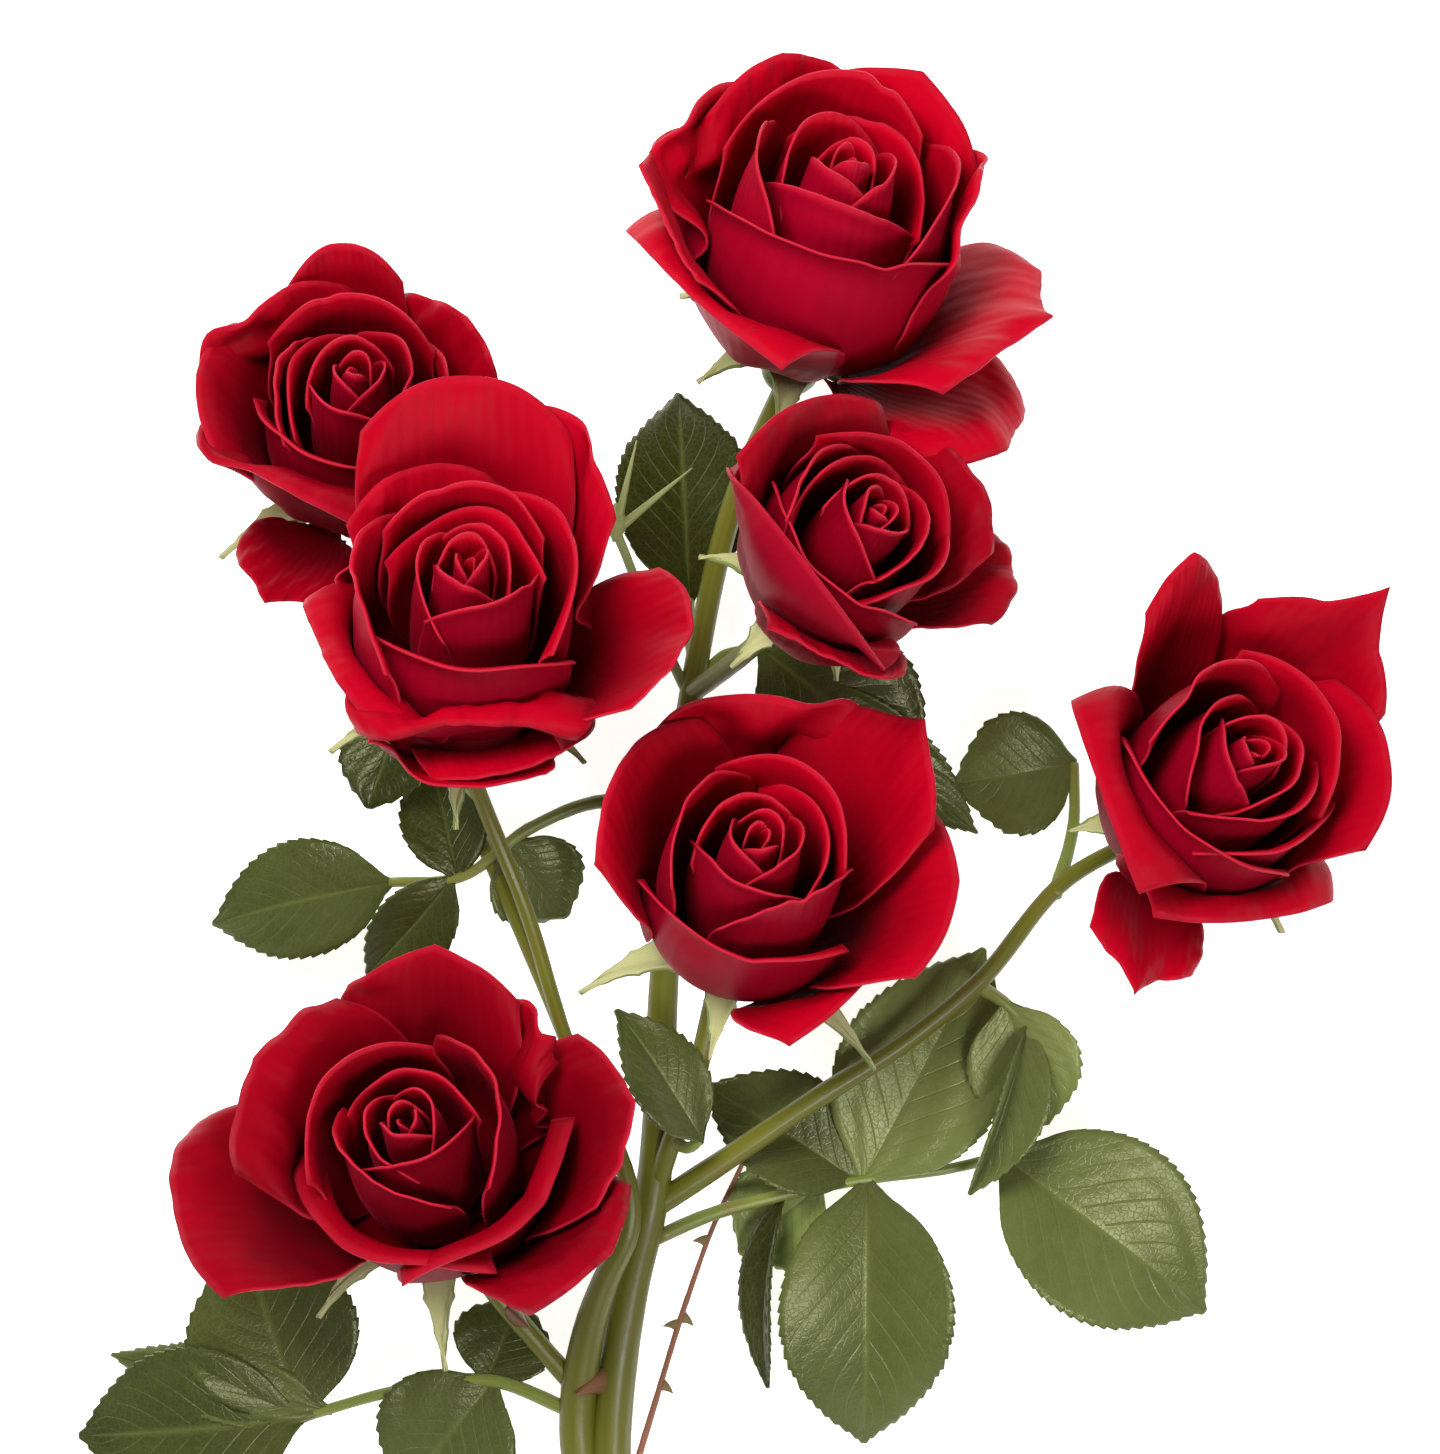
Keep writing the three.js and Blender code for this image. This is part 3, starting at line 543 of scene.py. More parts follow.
def furled_petal(bloom, azimuth, wrap, height, size, flare, seed):
    """A petal round the heart: size is its share of the heart's radius, flare how far its rim rolls out."""
    foot = HIP_HEIGHT + 0.3
    chance = np.random.default_rng(seed)
    tilt, notch, depth = chance.normal(0, 0.03), chance.uniform(-0.6, 0.6), chance.uniform(0, 0.035)

    def surface(u, v):
        share = np.abs(u)
        dip = depth * np.exp(-(((u - notch) / 0.1) ** 2)) * size
        climb = v * (1 - 0.2 * share**2.6 + tilt * u - dip + 0.012 * ripple(u, v * 0, seed, 0.5) * size)
        h = foot + (height - foot) * climb
        r = bloom["radius"] * size * along((0.3, 0.8, 0.97, 1.0, 0.97, 0.9 - 0.2 * (1 - size)), climb)
        lip = near(v, 0.82) ** 2
        r = r + flare * lip * (1.5 + 0.5 * ripple(u, v, seed + 2, 0.5)) + flare * 0.7 * share**5 * v
        h = h - flare * 0.55 * lip**2
        r = r + (0.15 + 0.5 * size) * ripple(u, v, seed + 3, 0.5) * v + 0.9 * u * (0.2 + 0.8 * size)
        angle = np.radians(azimuth + u * wrap * along((0.55, 0.85, 1.0, 1.0, 0.9), v))
        return np.stack([r * np.cos(angle), r * np.sin(angle), h], axis=1)

    return surface


def tooth_count(length):
    return max(8, round(length / TOOTH_PITCH))


def leaflet_surface(row, seed, tooth):
    """A serrated leaflet, with the blade raised between its side veins."""
    base, tip, width, fold, bow, bank, _ = row
    start = np.array(base, float)
    forward = np.array(tip, float) - start
    length = np.linalg.norm(forward)
    forward = forward / length
    side = np.cross(UP, forward)
    side = side / np.linalg.norm(side)
    up = np.cross(forward, side)
    blade = {
        "azimuth": 0, "root": -0.4, "foot": 0, "length": length, "half_width": width / 2,
        "lean": [90 - bow, 90 - bow * 0.5, 90, 90 + bow * 0.5, 90 + bow],
        "outline": [0.06, 0.66, 0.95, 1.0, 0.84, 0.47, 0.02],
        "cup": [0, 4, 6, 4, 0], "roll": [0] * 5, "fold": fold, "shoulder": 0,
    }
    turn = math.radians(bank)
    teeth = tooth_count(length)

    def surface(u, v):
        share = np.abs(u)
        belly = np.sin(np.pi * np.clip(v, 0, 1))
        points = blade_points(blade, u, v)
        saw = (v * teeth) % 1.0
        points[:, 1] += np.sign(u) * share**12 * tooth / MM * (saw - 0.35) * belly**0.4
        points[:, 0] += share**12 * tooth / MM * saw * 0.7
        side_vein = (v - VEIN_SLANT * share) * SIDE_VEINS
        quilt = np.abs(np.sin(np.pi * side_vein)) ** 0.8
        points[:, 2] += 0.42 * quilt * (1 - share**3) * share**0.5 * belly
        points[:, 2] += ripple(u, v, seed, 0.7) * (0.35 + 1.1 * share**2) * belly**0.5
        y = points[:, 1] * math.cos(turn) - points[:, 2] * math.sin(turn)
        z = points[:, 1] * math.sin(turn) + points[:, 2] * math.cos(turn)
        return start + points[:, :1] * forward + y[:, None] * side + z[:, None] * up

    return surface


def bloom_axes(name):
    """A bloom's right, up and outward axes, as rows."""
    bloom = BLOOMS[name]
    heading, rise = math.radians(bloom["heading"]), math.radians(bloom["rise"])
    flat = math.cos(rise)
    axis = np.array([flat * math.cos(heading), flat * math.sin(heading), math.sin(rise)])
    right = np.array([1.0, 0, 0]) - axis * axis[0]
    right = right / np.linalg.norm(right)
    return np.stack([right, np.cross(axis, right), axis])


def bloom_to_frame(name, points):
    """Points in a bloom's own frame, in millimetres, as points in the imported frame, in metres."""
    return points @ bloom_axes(name) * MM + place(name)


# ---- Meshes. ----

LAYERS = ("across", "along", "tint")


def new_mesh():
    """An empty mesh with the layers that the materials read."""
    bm = bmesh.new()
    for layer in LAYERS:
        bm.verts.layers.float.new(layer)
    return bm


def add_sheet(bm, surface, columns, rows, to_frame, tint):
    """A grid of columns by rows faces, with its vertices moved to the surface."""
    verts = bmesh.ops.create_grid(bm, x_segments=columns, y_segments=rows, size=1)["verts"]
    flat = np.array([v.co for v in verts])
    u, v = flat[:, 0], (flat[:, 1] + 1) / 2
    points = to_frame(surface(u, v))
    layers = [bm.verts.layers.float[layer] for layer in LAYERS]
    for vert, point, values in zip(verts, points, zip(u, v, np.broadcast_to(tint, u.shape))):
        vert.co = point
        for layer, value in zip(layers, values):
            vert[layer] = value
    return verts


def sew(bm, verts):
    """Joins the long edges of a rolled-up sheet and closes its ends."""
    bmesh.ops.remove_doubles(bm, verts=verts, dist=1e-7)
    edges = {e for v in verts if v.is_valid for e in v.link_edges if e.is_boundary}
    bmesh.ops.holes_fill(bm, edges=list(edges), sides=0)


def add_tube(bm, points, radii, sides, rows, tint, bumps=0.0, seed=0):
    """A round tube along points, in metres, made from a grid whose long edges are sewn together."""
    centres, tangents = smooth_path(points, rows + 1)
    aside = UP if abs(tangents[0][2]) < 0.9 else [1.0, 0, 0]
    normals = [np.cross(tangents[0], aside)]
    for tangent in tangents[1:]:
        normals.append(normals[-1] - tangent * np.dot(normals[-1], tangent))
    normals = np.array(normals)
    normals = normals / np.linalg.norm(normals, axis=1)[:, None]
    binormals = np.cross(tangents, normals)

    def surface(u, v):
        row = np.rint(v * rows).astype(int)
        angle = np.pi * u
        swell = 1 + bumps * ripple(np.cos(angle), v * 9, seed)
        radius = along(radii, v) * MM * swell
        return (
            centres[row]
            + normals[row] * (radius * np.cos(angle))[:, None]
            - binormals[row] * (radius * np.sin(angle))[:, None]
        )

    sew(bm, add_sheet(bm, surface, sides, rows, lambda p: p, tint))
    return centres, tangents


def finish_piece(name, bm, materials, replaced, thickness=0.0):
    """The mesh as a piece of the frame. A sheet has a thickness, and back, face and rim materials."""
    mesh = bpy.data.meshes.new(name)
    for face in bm.faces:
        face.smooth = True
    bm.to_mesh(mesh)
    bm.free()
    piece = bpy.data.objects.new(name, mesh)
    bpy.context.scene.collection.objects.link(piece)
    for material in materials:
        mesh.materials.append(material)
    if thickness:
        wall = piece.modifiers.new("wall", "SOLIDIFY")
        wall.thickness = thickness
        wall.offset = 0
        wall.use_even_offset = False
        wall.material_offset = 1
        wall.material_offset_rim = len(materials) - 1
    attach(piece, "root")
    if replaced:
        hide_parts(*replaced)
    return piece


# ---- Materials. ----


class Nodes:
    """Adds nodes to a tree from left to right and links them."""

    def __init__(self, tree):
        self.tree = tree
        self.column = 0

    def add(self, kind, **settings):
        node = self.tree.nodes.new(kind)
        self.column += 1
        node.location = (self.column * 190, 0)
        for key, value in settings.items():
            setattr(node, key, value)
        return node

    def link(self, source, target):
        self.tree.links.new(source, target)

    def attribute(self, name):
        return self.add("ShaderNodeAttribute", attribute_name=name).outputs["Fac"]

    def maths(self, operation, *values, clamp=False):
        node = self.add("ShaderNodeMath", operation=operation, use_clamp=clamp)
        for socket, value in zip(node.inputs, values):
            if isinstance(value, (int, float)):
                socket.default_value = value
            else:
                self.link(value, socket)
        return node.outputs[0]

    def ramp(self, value, stops):
        node = self.add("ShaderNodeValToRGB")
        elements = node.color_ramp.elements
        while len(elements) < len(stops):
            elements.new(0.5)
        for element, (position, grey) in zip(elements, stops):
            element.position = position
            element.color = (grey, grey, grey, 1)
        self.link(value, node.inputs["Fac"])
        return node.outputs["Color"]

    def mix(self, factor, first, second):
        node = self.add("ShaderNodeMix", data_type="RGBA")
        for socket, value in zip((node.inputs[0], node.inputs[6], node.inputs[7]), (factor, first, second)):
            if isinstance(value, (int, float)):
                socket.default_value = value
            elif isinstance(value, (tuple, list)) or hasattr(value, "hsv"):
                socket.default_value = (*value[:3], 1)
            else:
                self.link(value, socket)
        return node.outputs[2]

    def object_place(self):
        return self.add("ShaderNodeTexCoord").outputs["Object"]

    def noise(self, scale, detail):
        node = self.add("ShaderNodeTexNoise")
        node.inputs["Scale"].default_value = scale
        node.inputs["Detail"].default_value = detail
        node.inputs["Roughness"].default_value = 0.55
        self.link(self.object_place(), node.inputs["Vector"])
        return node.outputs["Fac"]

    def uneven(self, cloud, middle, amount):
        """A cloud's rise above a middle value, scaled."""
        return self.maths("MULTIPLY", self.maths("SUBTRACT", cloud, middle), amount)


def new_group(name, inputs, outputs):
    """A new node group with its sockets, its nodes and the values that it is given."""
    group = bpy.data.node_groups.new(name, "ShaderNodeTree")
    for socket, kind, default in inputs:
        made = group.interface.new_socket(name=socket, in_out="INPUT", socket_type=kind)
        made.default_value = default
    for socket, kind in outputs:
        group.interface.new_socket(name=socket, in_out="OUTPUT", socket_type=kind)
    nodes = Nodes(group)
    start = nodes.add("NodeGroupInput")
    return group, nodes, start.outputs


def close_group(nodes, **outputs):
    end = nodes.add("NodeGroupOutput")
    for name, value in outputs.items():
        nodes.link(value, end.inputs[name.replace("_", " ").title()])


COLOUR = "NodeSocketColor"
NUMBER = "NodeSocketFloat"


def petal_tissue_group():
    """Colour and relief of petal tissue: painted shade at the foot, the lit colour above, more painted shade
    where tint and darkness are high, fine fanned veins and a lighter rim painted as a highlight.
    """
    # Deep is the painted shade colour.
    inputs = [
        ("Deep", COLOUR, (0.2, 0, 0, 1)), ("Lit", COLOUR, (0.6, 0, 0, 1)),
        ("Rim", COLOUR, (0.7, 0.1, 0.1, 1)), ("Darkness", NUMBER, 0.0), ("Vein Strength", NUMBER, 0.1),
    ]
    group, nodes, given = new_group("petal_tissue", inputs, [("Color", COLOUR), ("Height", NUMBER)])
    across, up, tint = (nodes.attribute(layer) for layer in LAYERS)
    cloud = nodes.noise(70.0, 3.0)
    fine = nodes.noise(900.0, 2.0)
    # Painted shade: the petal runs from the deep shade colour at its foot to its lit colour above, and a
    # darker bloom carries that shade further up.
    shade_to_lit = nodes.maths("ADD", up, nodes.uneven(cloud, 0.5, 0.5))
    shade_to_lit = nodes.maths("SUBTRACT", shade_to_lit, nodes.maths("MULTIPLY", given["Darkness"], 0.6))
    base = nodes.mix(nodes.ramp(shade_to_lit, [(0.15, 0.0), (0.78, 1.0)]), given["Deep"], given["Lit"])
    fan = nodes.maths("MULTIPLY", across, 46.0)
    wave = nodes.maths("SINE", nodes.maths("ADD", fan, nodes.maths("MULTIPLY", cloud, 9.0)))
    vein = nodes.maths("MULTIPLY", nodes.maths("ADD", wave, 1.0), 0.5)
    veined = nodes.mix(nodes.maths("MULTIPLY", vein, given["Vein Strength"]), base, given["Deep"])
    # Painted shade: tint and darkness darken the whole petal towards the deep shade colour.
    shade = nodes.maths("MULTIPLY", nodes.maths("ADD", tint, given["Darkness"]), 0.4, clamp=True)
    shaded = nodes.mix(shade, veined, given["Deep"])
    speckled = nodes.mix(nodes.maths("MULTIPLY", fine, 0.18), shaded, given["Deep"])
    # Painted highlight: a thin lighter band along the petal's edges.
    edge = nodes.maths("MAXIMUM", nodes.maths("ABSOLUTE", across), up)
    rim_highlight_share = nodes.maths("MULTIPLY", nodes.ramp(edge, [(0.965, 0.0), (1.0, 1.0)]), 0.55)
    rim = nodes.mix(rim_highlight_share, speckled, given["Rim"])
    relief = nodes.maths("ADD", nodes.maths("MULTIPLY", vein, 0.6), nodes.maths("MULTIPLY", fine, 0.4))
    close_group(nodes, color=rim, height=relief)
    return group


def principled(name, **values):
    """A new material's nodes and its shader, with constants on the shader's own sockets."""
    material = bpy.data.materials.new(name)
    material.use_nodes = True
    shader = material.node_tree.nodes["Principled BSDF"]
    for key, value in values.items():
        shader.inputs[key.replace("_", " ")].default_value = value
    return material, Nodes(material.node_tree), shader


def bump(nodes, shader, height, distance, strength):
    node = nodes.add("ShaderNodeBump")
    node.inputs["Strength"].default_value = strength
    node.inputs["Distance"].default_value = distance
    nodes.link(height, node.inputs["Height"])
    nodes.link(node.outputs["Normal"], shader.inputs["Normal"])


def use_group(nodes, group, **values):
    node = nodes.add("ShaderNodeGroup", node_tree=group)
    for key, value in values.items():
        node.inputs[key.replace("_", " ").title()].default_value = value
    return node.outputs


def petal_material(name, group, deep, lit, rim, darkness, veins, sheen):
    """Velvety petal skin with a soft sheen and a little light let through."""
    material, nodes, shader = principled(
        name, Roughness=0.55, Sheen_Weight=sheen, Sheen_Roughness=0.35, Sheen_Tint=(1.0, 0.04, 0.1, 1),
        Subsurface_Weight=0.1, Subsurface_Radius=(1.0, 0.05, 0.05), Subsurface_Scale=0.0012,
        Specular_IOR_Level=0.2, Specular_Tint=(1.0, 0.4, 0.45, 1),
    )
    out = use_group(
        nodes, group, deep=(*deep, 1), lit=(*lit, 1), rim=(*rim, 1), darkness=darkness, vein_strength=veins
    )
    nodes.link(out["Color"], shader.inputs["Base Color"])
    bump(nodes, shader, out["Height"], 0.0002, 0.35)
    return material


def petal_materials():
    """For each bloom, the back, face and rim materials of its petals."""
    s = bpy.context.scene.rose
    tissue = petal_tissue_group()
    deep, rim = s.petal_shade_colour, s.petal_rim_colour
    # Each look takes the bloom's painted shade at its share; the rim look is the thin edge, whose lighter
    # colour is a painted highlight.
    looks = [
        ("back", deep, s.petal_back_colour, 0.8, 0.06, 0.12),
        ("face", deep, s.petal_colour, 0.9, 0.03, 0.06),
        ("rim", rim, rim, 0.3, 0.0, 0.1),
    ]
    made = {}
    for name, bloom in BLOOMS.items():
        made[name] = [
            petal_material(f"petal_{part}_{name}", tissue, low, lit, rim, bloom["dark"] * share, veins, sheen)
            for part, low, lit, share, veins, sheen in looks
        ]
    return made


def leaf_pattern_group():
    """Blade colour and relief of a leaflet: midrib, slanted side veins and a fine net between them."""
    inputs = [
        ("Blade", COLOUR, (0.05, 0.1, 0.02, 1)), ("Pale", COLOUR, (0.1, 0.2, 0.05, 1)),
        ("Vein", COLOUR, (0.2, 0.3, 0.1, 1)), ("Vein Strength", NUMBER, 0.6),
    ]
    outputs = [("Color", COLOUR), ("Height", NUMBER), ("Gloss", NUMBER)]
    group, nodes, given = new_group("leaf_pattern", inputs, outputs)
    across, up, tint = (nodes.attribute(layer) for layer in LAYERS)
    share = nodes.maths("ABSOLUTE", across)
    cloud = nodes.noise(60.0, 4.0)
    fine = nodes.noise(700.0, 3.0)
    slanted = nodes.maths("SUBTRACT", up, nodes.maths("MULTIPLY", share, VEIN_SLANT))
    side = nodes.maths("MULTIPLY", slanted, SIDE_VEINS)
    side_wave = nodes.maths("ABSOLUTE", nodes.maths("SINE", nodes.maths("MULTIPLY", side, math.pi)))
    side_line = nodes.ramp(side_wave, [(0.0, 1.0), (0.2, 0.0)])
    side_line = nodes.maths("MULTIPLY", side_line, nodes.ramp(share, [(0.5, 0.5), (0.9, 0.05)]))
    midrib = nodes.ramp(share, [(0.0, 1.0), (0.075, 0.0)])
    cells = nodes.add("ShaderNodeTexVoronoi", feature="DISTANCE_TO_EDGE")
    cells.inputs["Scale"].default_value = 1100.0
    nodes.link(nodes.object_place(), cells.inputs["Vector"])
    net = nodes.ramp(cells.outputs["Distance"], [(0.0, 1.0), (0.12, 0.0)])
    veins = nodes.maths("MAXIMUM", midrib, side_line)
    # The tint layer carries each leaflet's tone, which is partly painted shade and light.
    tone = nodes.maths("ADD", tint, nodes.uneven(cloud, 0.5, 0.35), clamp=True)
    blade = nodes.mix(tone, given["Blade"], given["Pale"])
    netted = nodes.mix(nodes.maths("MULTIPLY", net, 0.1), blade, given["Vein"])
    veined = nodes.mix(nodes.maths("MULTIPLY", veins, given["Vein Strength"]), netted, given["Vein"])
    dulled = nodes.mix(nodes.maths("MULTIPLY", fine, 0.25), veined, given["Blade"])
    relief = nodes.maths("SUBTRACT", nodes.maths("MULTIPLY", fine, 0.1), nodes.maths("MULTIPLY", veins, 0.9))
    relief = nodes.maths("SUBTRACT", relief, nodes.maths("MULTIPLY", net, 0.12))
    gloss = nodes.maths("ADD", nodes.maths("MULTIPLY", cloud, 0.3), 0.2)
    close_group(nodes, color=dulled, height=relief, gloss=gloss)
    return group


def leaf_materials():
    """Top, underside and edge of the leaflets, and their green petioles."""
    s = bpy.context.scene.rose
    pattern = leaf_pattern_group()
    made = []
    looks = [
        ("leaf_top", s.leaf_colour, s.leaf_pale_colour, 0.28, 0.5),
        ("leaf_underside", s.leaf_under_colour, s.vein_colour, 0.8, 0.25),
    ]
    for name, blade, pale, veins, specular in looks:
        material, nodes, shader = principled(
            name, Specular_IOR_Level=specular, Specular_Tint=(1.0, 1.0, 0.65, 1), Subsurface_Weight=0.05,
            Subsurface_Radius=(0.3, 0.6, 0.1), Subsurface_Scale=0.001,
        )
        out = use_group(
            nodes, pattern, blade=(*blade, 1), pale=(*pale, 1), vein=(*s.vein_colour, 1), vein_strength=veins
        )
        nodes.link(out["Color"], shader.inputs["Base Color"])
        nodes.link(out["Gloss"], shader.inputs["Roughness"])
        bump(nodes, shader, out["Height"], 0.0003, 0.5)
        made.append(material)
    made.append(plant_skin_material("petiole_green", (0.16, 0.2, 0.035), (0.22, 0.05, 0.02), 0.42))
    return made


def plant_skin_material(name, colour, flush, roughness):
    """Smooth skin that turns towards the flush colour where tint is high, with fine lengthwise streaks."""
    material, nodes, shader = principled(
        name, Specular_IOR_Level=0.45, Subsurface_Weight=0.06, Subsurface_Radius=(0.3, 0.5, 0.1),
        Subsurface_Scale=0.001,
    )
    tint = nodes.attribute("tint")
    across = nodes.attribute("across")
    cloud = nodes.noise(120.0, 4.0)
    wave = nodes.maths("SINE", nodes.maths("MULTIPLY", across, 34.0))
    streak = nodes.maths("MULTIPLY", nodes.maths("ADD", wave, 1.0), 0.5)
    patch = nodes.maths("ADD", tint, nodes.uneven(cloud, 0.52, 1.3), clamp=True)
    coloured = nodes.mix(patch, colour, flush)
    darker = nodes.mix(nodes.maths("MULTIPLY", streak, 0.16), coloured, tuple(c * 0.45 for c in colour))
    nodes.link(darker, shader.inputs["Base Color"])
    gloss = nodes.maths("ADD", nodes.maths("MULTIPLY", cloud, 0.2), roughness - 0.1)
    nodes.link(gloss, shader.inputs["Roughness"])
    relief = nodes.maths("ADD", nodes.maths("MULTIPLY", streak, 0.4), nodes.noise(1500.0, 2.0))
    bump(nodes, shader, relief, 0.0001, 0.4)
    return material


# ---- Blooms. ----


class RadiusMap:
    """How far out a bloom's placed petals reach, by azimuth and height, so that the next clears them."""

    AROUND = 72
    TALL = 80

    def __init__(self):
        self.reach = np.zeros((self.AROUND, self.TALL))

    def cells(self, points):
        azimuth = np.degrees(np.arctan2(points[:, 1], points[:, 0])) % 360
        column = (azimuth / 360 * self.AROUND).astype(int) % self.AROUND
        row = np.clip(points[:, 2].astype(int) + 10, 0, self.TALL - 1)
        return column, row

    def add(self, points):
        radius = np.linalg.norm(points[:, :2], axis=1)
        column, row = self.cells(points)
        for side in (-1, 0, 1):
            for step in (-1, 0, 1):
                at = ((column + side) % self.AROUND, np.clip(row + step, 0, self.TALL - 1))
                np.maximum.at(self.reach, at, radius)

    def clear(self, points, columns, rows, gap, most):
        """The points pushed out where they would lie in or just inside what is placed."""
        radius = np.linalg.norm(points[:, :2], axis=1)
        push = self.reach[self.cells(points)] + gap - radius
        push = np.where(push > most * 1.6, 0, np.clip(push, 0, most)).reshape(rows + 1, columns + 1)
        for _ in range(6):
            padded = np.pad(push, 1, mode="edge")
            around = (padded[:-2, 1:-1] + padded[2:, 1:-1] + padded[1:-1, :-2] + padded[1:-1, 2:]) / 4
            push = np.maximum(push * 0.85, 0.5 * push + 0.5 * around)
        push = push.ravel()
        outward = points[:, :2] / np.maximum(radius, 1e-6)[:, None]
        moved = points.copy()
        moved[:, :2] += outward * push[:, None]
        return moved


def heart_parts(name):
    """The furled petals of a heart, innermost first, as (surface, columns, rows, tint)."""
    bloom = BLOOMS[name]
    chance = np.random.default_rng(len(name) * 7 + int(bloom["turn"]))
    parts = []
    for i in range(FURLED_PETALS):
        share = (i + 1) / FURLED_PETALS
        size = 0.06 + 0.66 * share**1.35
        wrap = 150 - 70 * share**0.6
        height = bloom["height"] * (0.95 + 0.05 * math.sin(share * math.pi)) + chance.normal(0, 0.5)
        azimuth = bloom["turn"] + i * SPIRAL_TURN + chance.normal(0, 12)
        flare = 0.1 + 0.9 * share**2
        seed = int(chance.integers(1000))
        surface = furled_petal(bloom, azimuth, wrap, height, size, flare, seed)
        # Painted shade: the inner furled petals take a higher tint, which darkens them towards the shade
        # colour deep in the heart; the outermost ones and the wraps take a negative one, which keeps them
        # lit.
        parts.append((surface, 24, 16, 0.15 - 0.25 * share))
    for azimuth, wrap, height, size, flare in reversed(bloom["wraps"]):
        surface = furled_petal(bloom, azimuth, wrap, height, size, flare, int(chance.integers(1000)))
        parts.append((surface, 34, 24, -0.1))
    return parts


def build_bloom(name, materials):
    """One bloom: its furled heart as one piece, then its opened petals from the inside out."""
    s = bpy.context.scene.rose
    bloom = BLOOMS[name]
    reach = RadiusMap()
    bm = new_mesh()

    def to_frame(points):
        reach.add(points)
        return bloom_to_frame(name, points)

    for surface, columns, rows, tint in heart_parts(name):
        add_sheet(bm, surface, columns, rows, to_frame, tint)
    finish_piece(f"furled_heart_{name}", bm, materials, [f"heart_{name}"], s.petal_thickness)

    rows_out = [(row, f"petal_{name}_{i + 1}") for i, row in enumerate(bloom["petals"])]
    rows_out += [(row, None) for row in bloom["extras"]]
    order = sorted(range(len(rows_out)), key=lambda i: (rows_out[i][0][1], i))
    columns, rows = 32, 30
    for i in order:
        row, node = rows_out[i]
        bm = new_mesh()

        def clear_to_frame(points):
            moved = reach.clear(points, columns, rows, PETAL_GAP, FARTHEST_PUSH)
            reach.add(moved)
            return bloom_to_frame(name, moved)

        add_sheet(bm, opened_petal(row, 11 * i + len(name)), columns, rows, clear_to_frame, 0.0)
        label = node or f"petal_{name}_extra_{i - len(bloom['petals']) + 1}"
        finish_piece(f"open_{label}", bm, materials, [node] if node else [], s.petal_thickness)


# ---- Calyces, stems and leaves. ----


def build_calyx(name, materials):
    """A bloom's round hip as one piece, and its five narrow sepals with their side lobes as another."""
    s = bpy.context.scene.rose
    bm = new_mesh()
    hip_heights = (0, 0.3, 1.6, 3.4, 5.4, 7.2, 8.3)
    hip_radii = (1.5, 2.2, 3.5, 4.3, HIP_RADIUS, 4.2, 3.8)

    def hip(u, v):
        h = along(hip_heights, v)
        r = along(hip_radii, v)
        return np.stack([r * np.cos(np.pi * u), r * np.sin(np.pi * u), h], axis=1)

    sew(bm, add_sheet(bm, hip, 24, 14, lambda p: bloom_to_frame(name, p), -0.4))
    finish_piece(f"green_hip_{name}", bm, [materials["hip"]], [f"calyx_{name}"])

    bm = new_mesh()
    chance = np.random.default_rng(len(name) + 3)
    for i, (azimuth, share) in enumerate(BLOOMS[name]["sepals"]):
        blade = {
            "azimuth": azimuth, "root": HIP_RADIUS - 0.9, "foot": HIP_HEIGHT - 1.2,
            "length": SEPAL_LENGTH * share, "half_width": SEPAL_HALF_WIDTH,
            "outline": [1, 1, 0.84, 0.6, 0.36, 0.16, 0.05],
            "lean": [70, 95, 118, 135], "cup": [40, 34, 30, 24], "roll": [0] * 4, "fold": 0, "shoulder": 0,
        }
        lobes = chance.uniform(0.3, 0.8)

        def sepal(u, v, blade=blade, lobes=lobes, seed=i):
            points = blade_points(blade, u, v)
            normal = normals_of(lambda a, b: blade_points(blade, a, b), u, v)
            comb = np.clip(np.sin(v * 26 + seed), 0, 1) ** 2 * np.abs(u) ** 8 * lobes
            lobed = blade_points({**blade, "half_width": LOBED_HALF_WIDTH}, u, v)
            points = points + (lobed - points) * comb[:, None]
            return points + normal * (ripple(u, v, seed + 5) * 0.5 * v)[:, None]

        add_sheet(bm, sepal, 8, 26, lambda p: bloom_to_frame(name, p), 0.1)
    skins = [materials["sepal_back"], materials["sepal_face"], materials["sepal_back"]]
    finish_piece(f"sepals_{name}", bm, skins, [], s.sepal_thickness)


def add_prickle(bm, centre, tangent, azimuth, radius, height):
    """A curved prickle with a long oval foot, its tip bent towards the cut end."""
    sideways = np.cross(UP, tangent)
    sideways = sideways / np.linalg.norm(sideways)
    upward = np.cross(tangent, sideways)
    angle = math.radians(azimuth)
    out = sideways * math.cos(angle) + upward * math.sin(angle)
    across = np.cross(tangent, out)

    def surface(u, v):
        slim = (1 - v) ** 0.8 * 0.98 + 0.02
        bend = -0.45 * v**2 * height
        turn = np.pi * u
        return (
            centre
            + out * (radius * 0.7 + v * (height + radius * 0.3))[:, None]
            + tangent * (bend + np.cos(turn) * slim * height * 0.5)[:, None]
            + across * (np.sin(turn) * slim * height * 0.26)[:, None]
        )

    sew(bm, add_sheet(bm, surface, 12, 8, lambda p: p, 0.85))


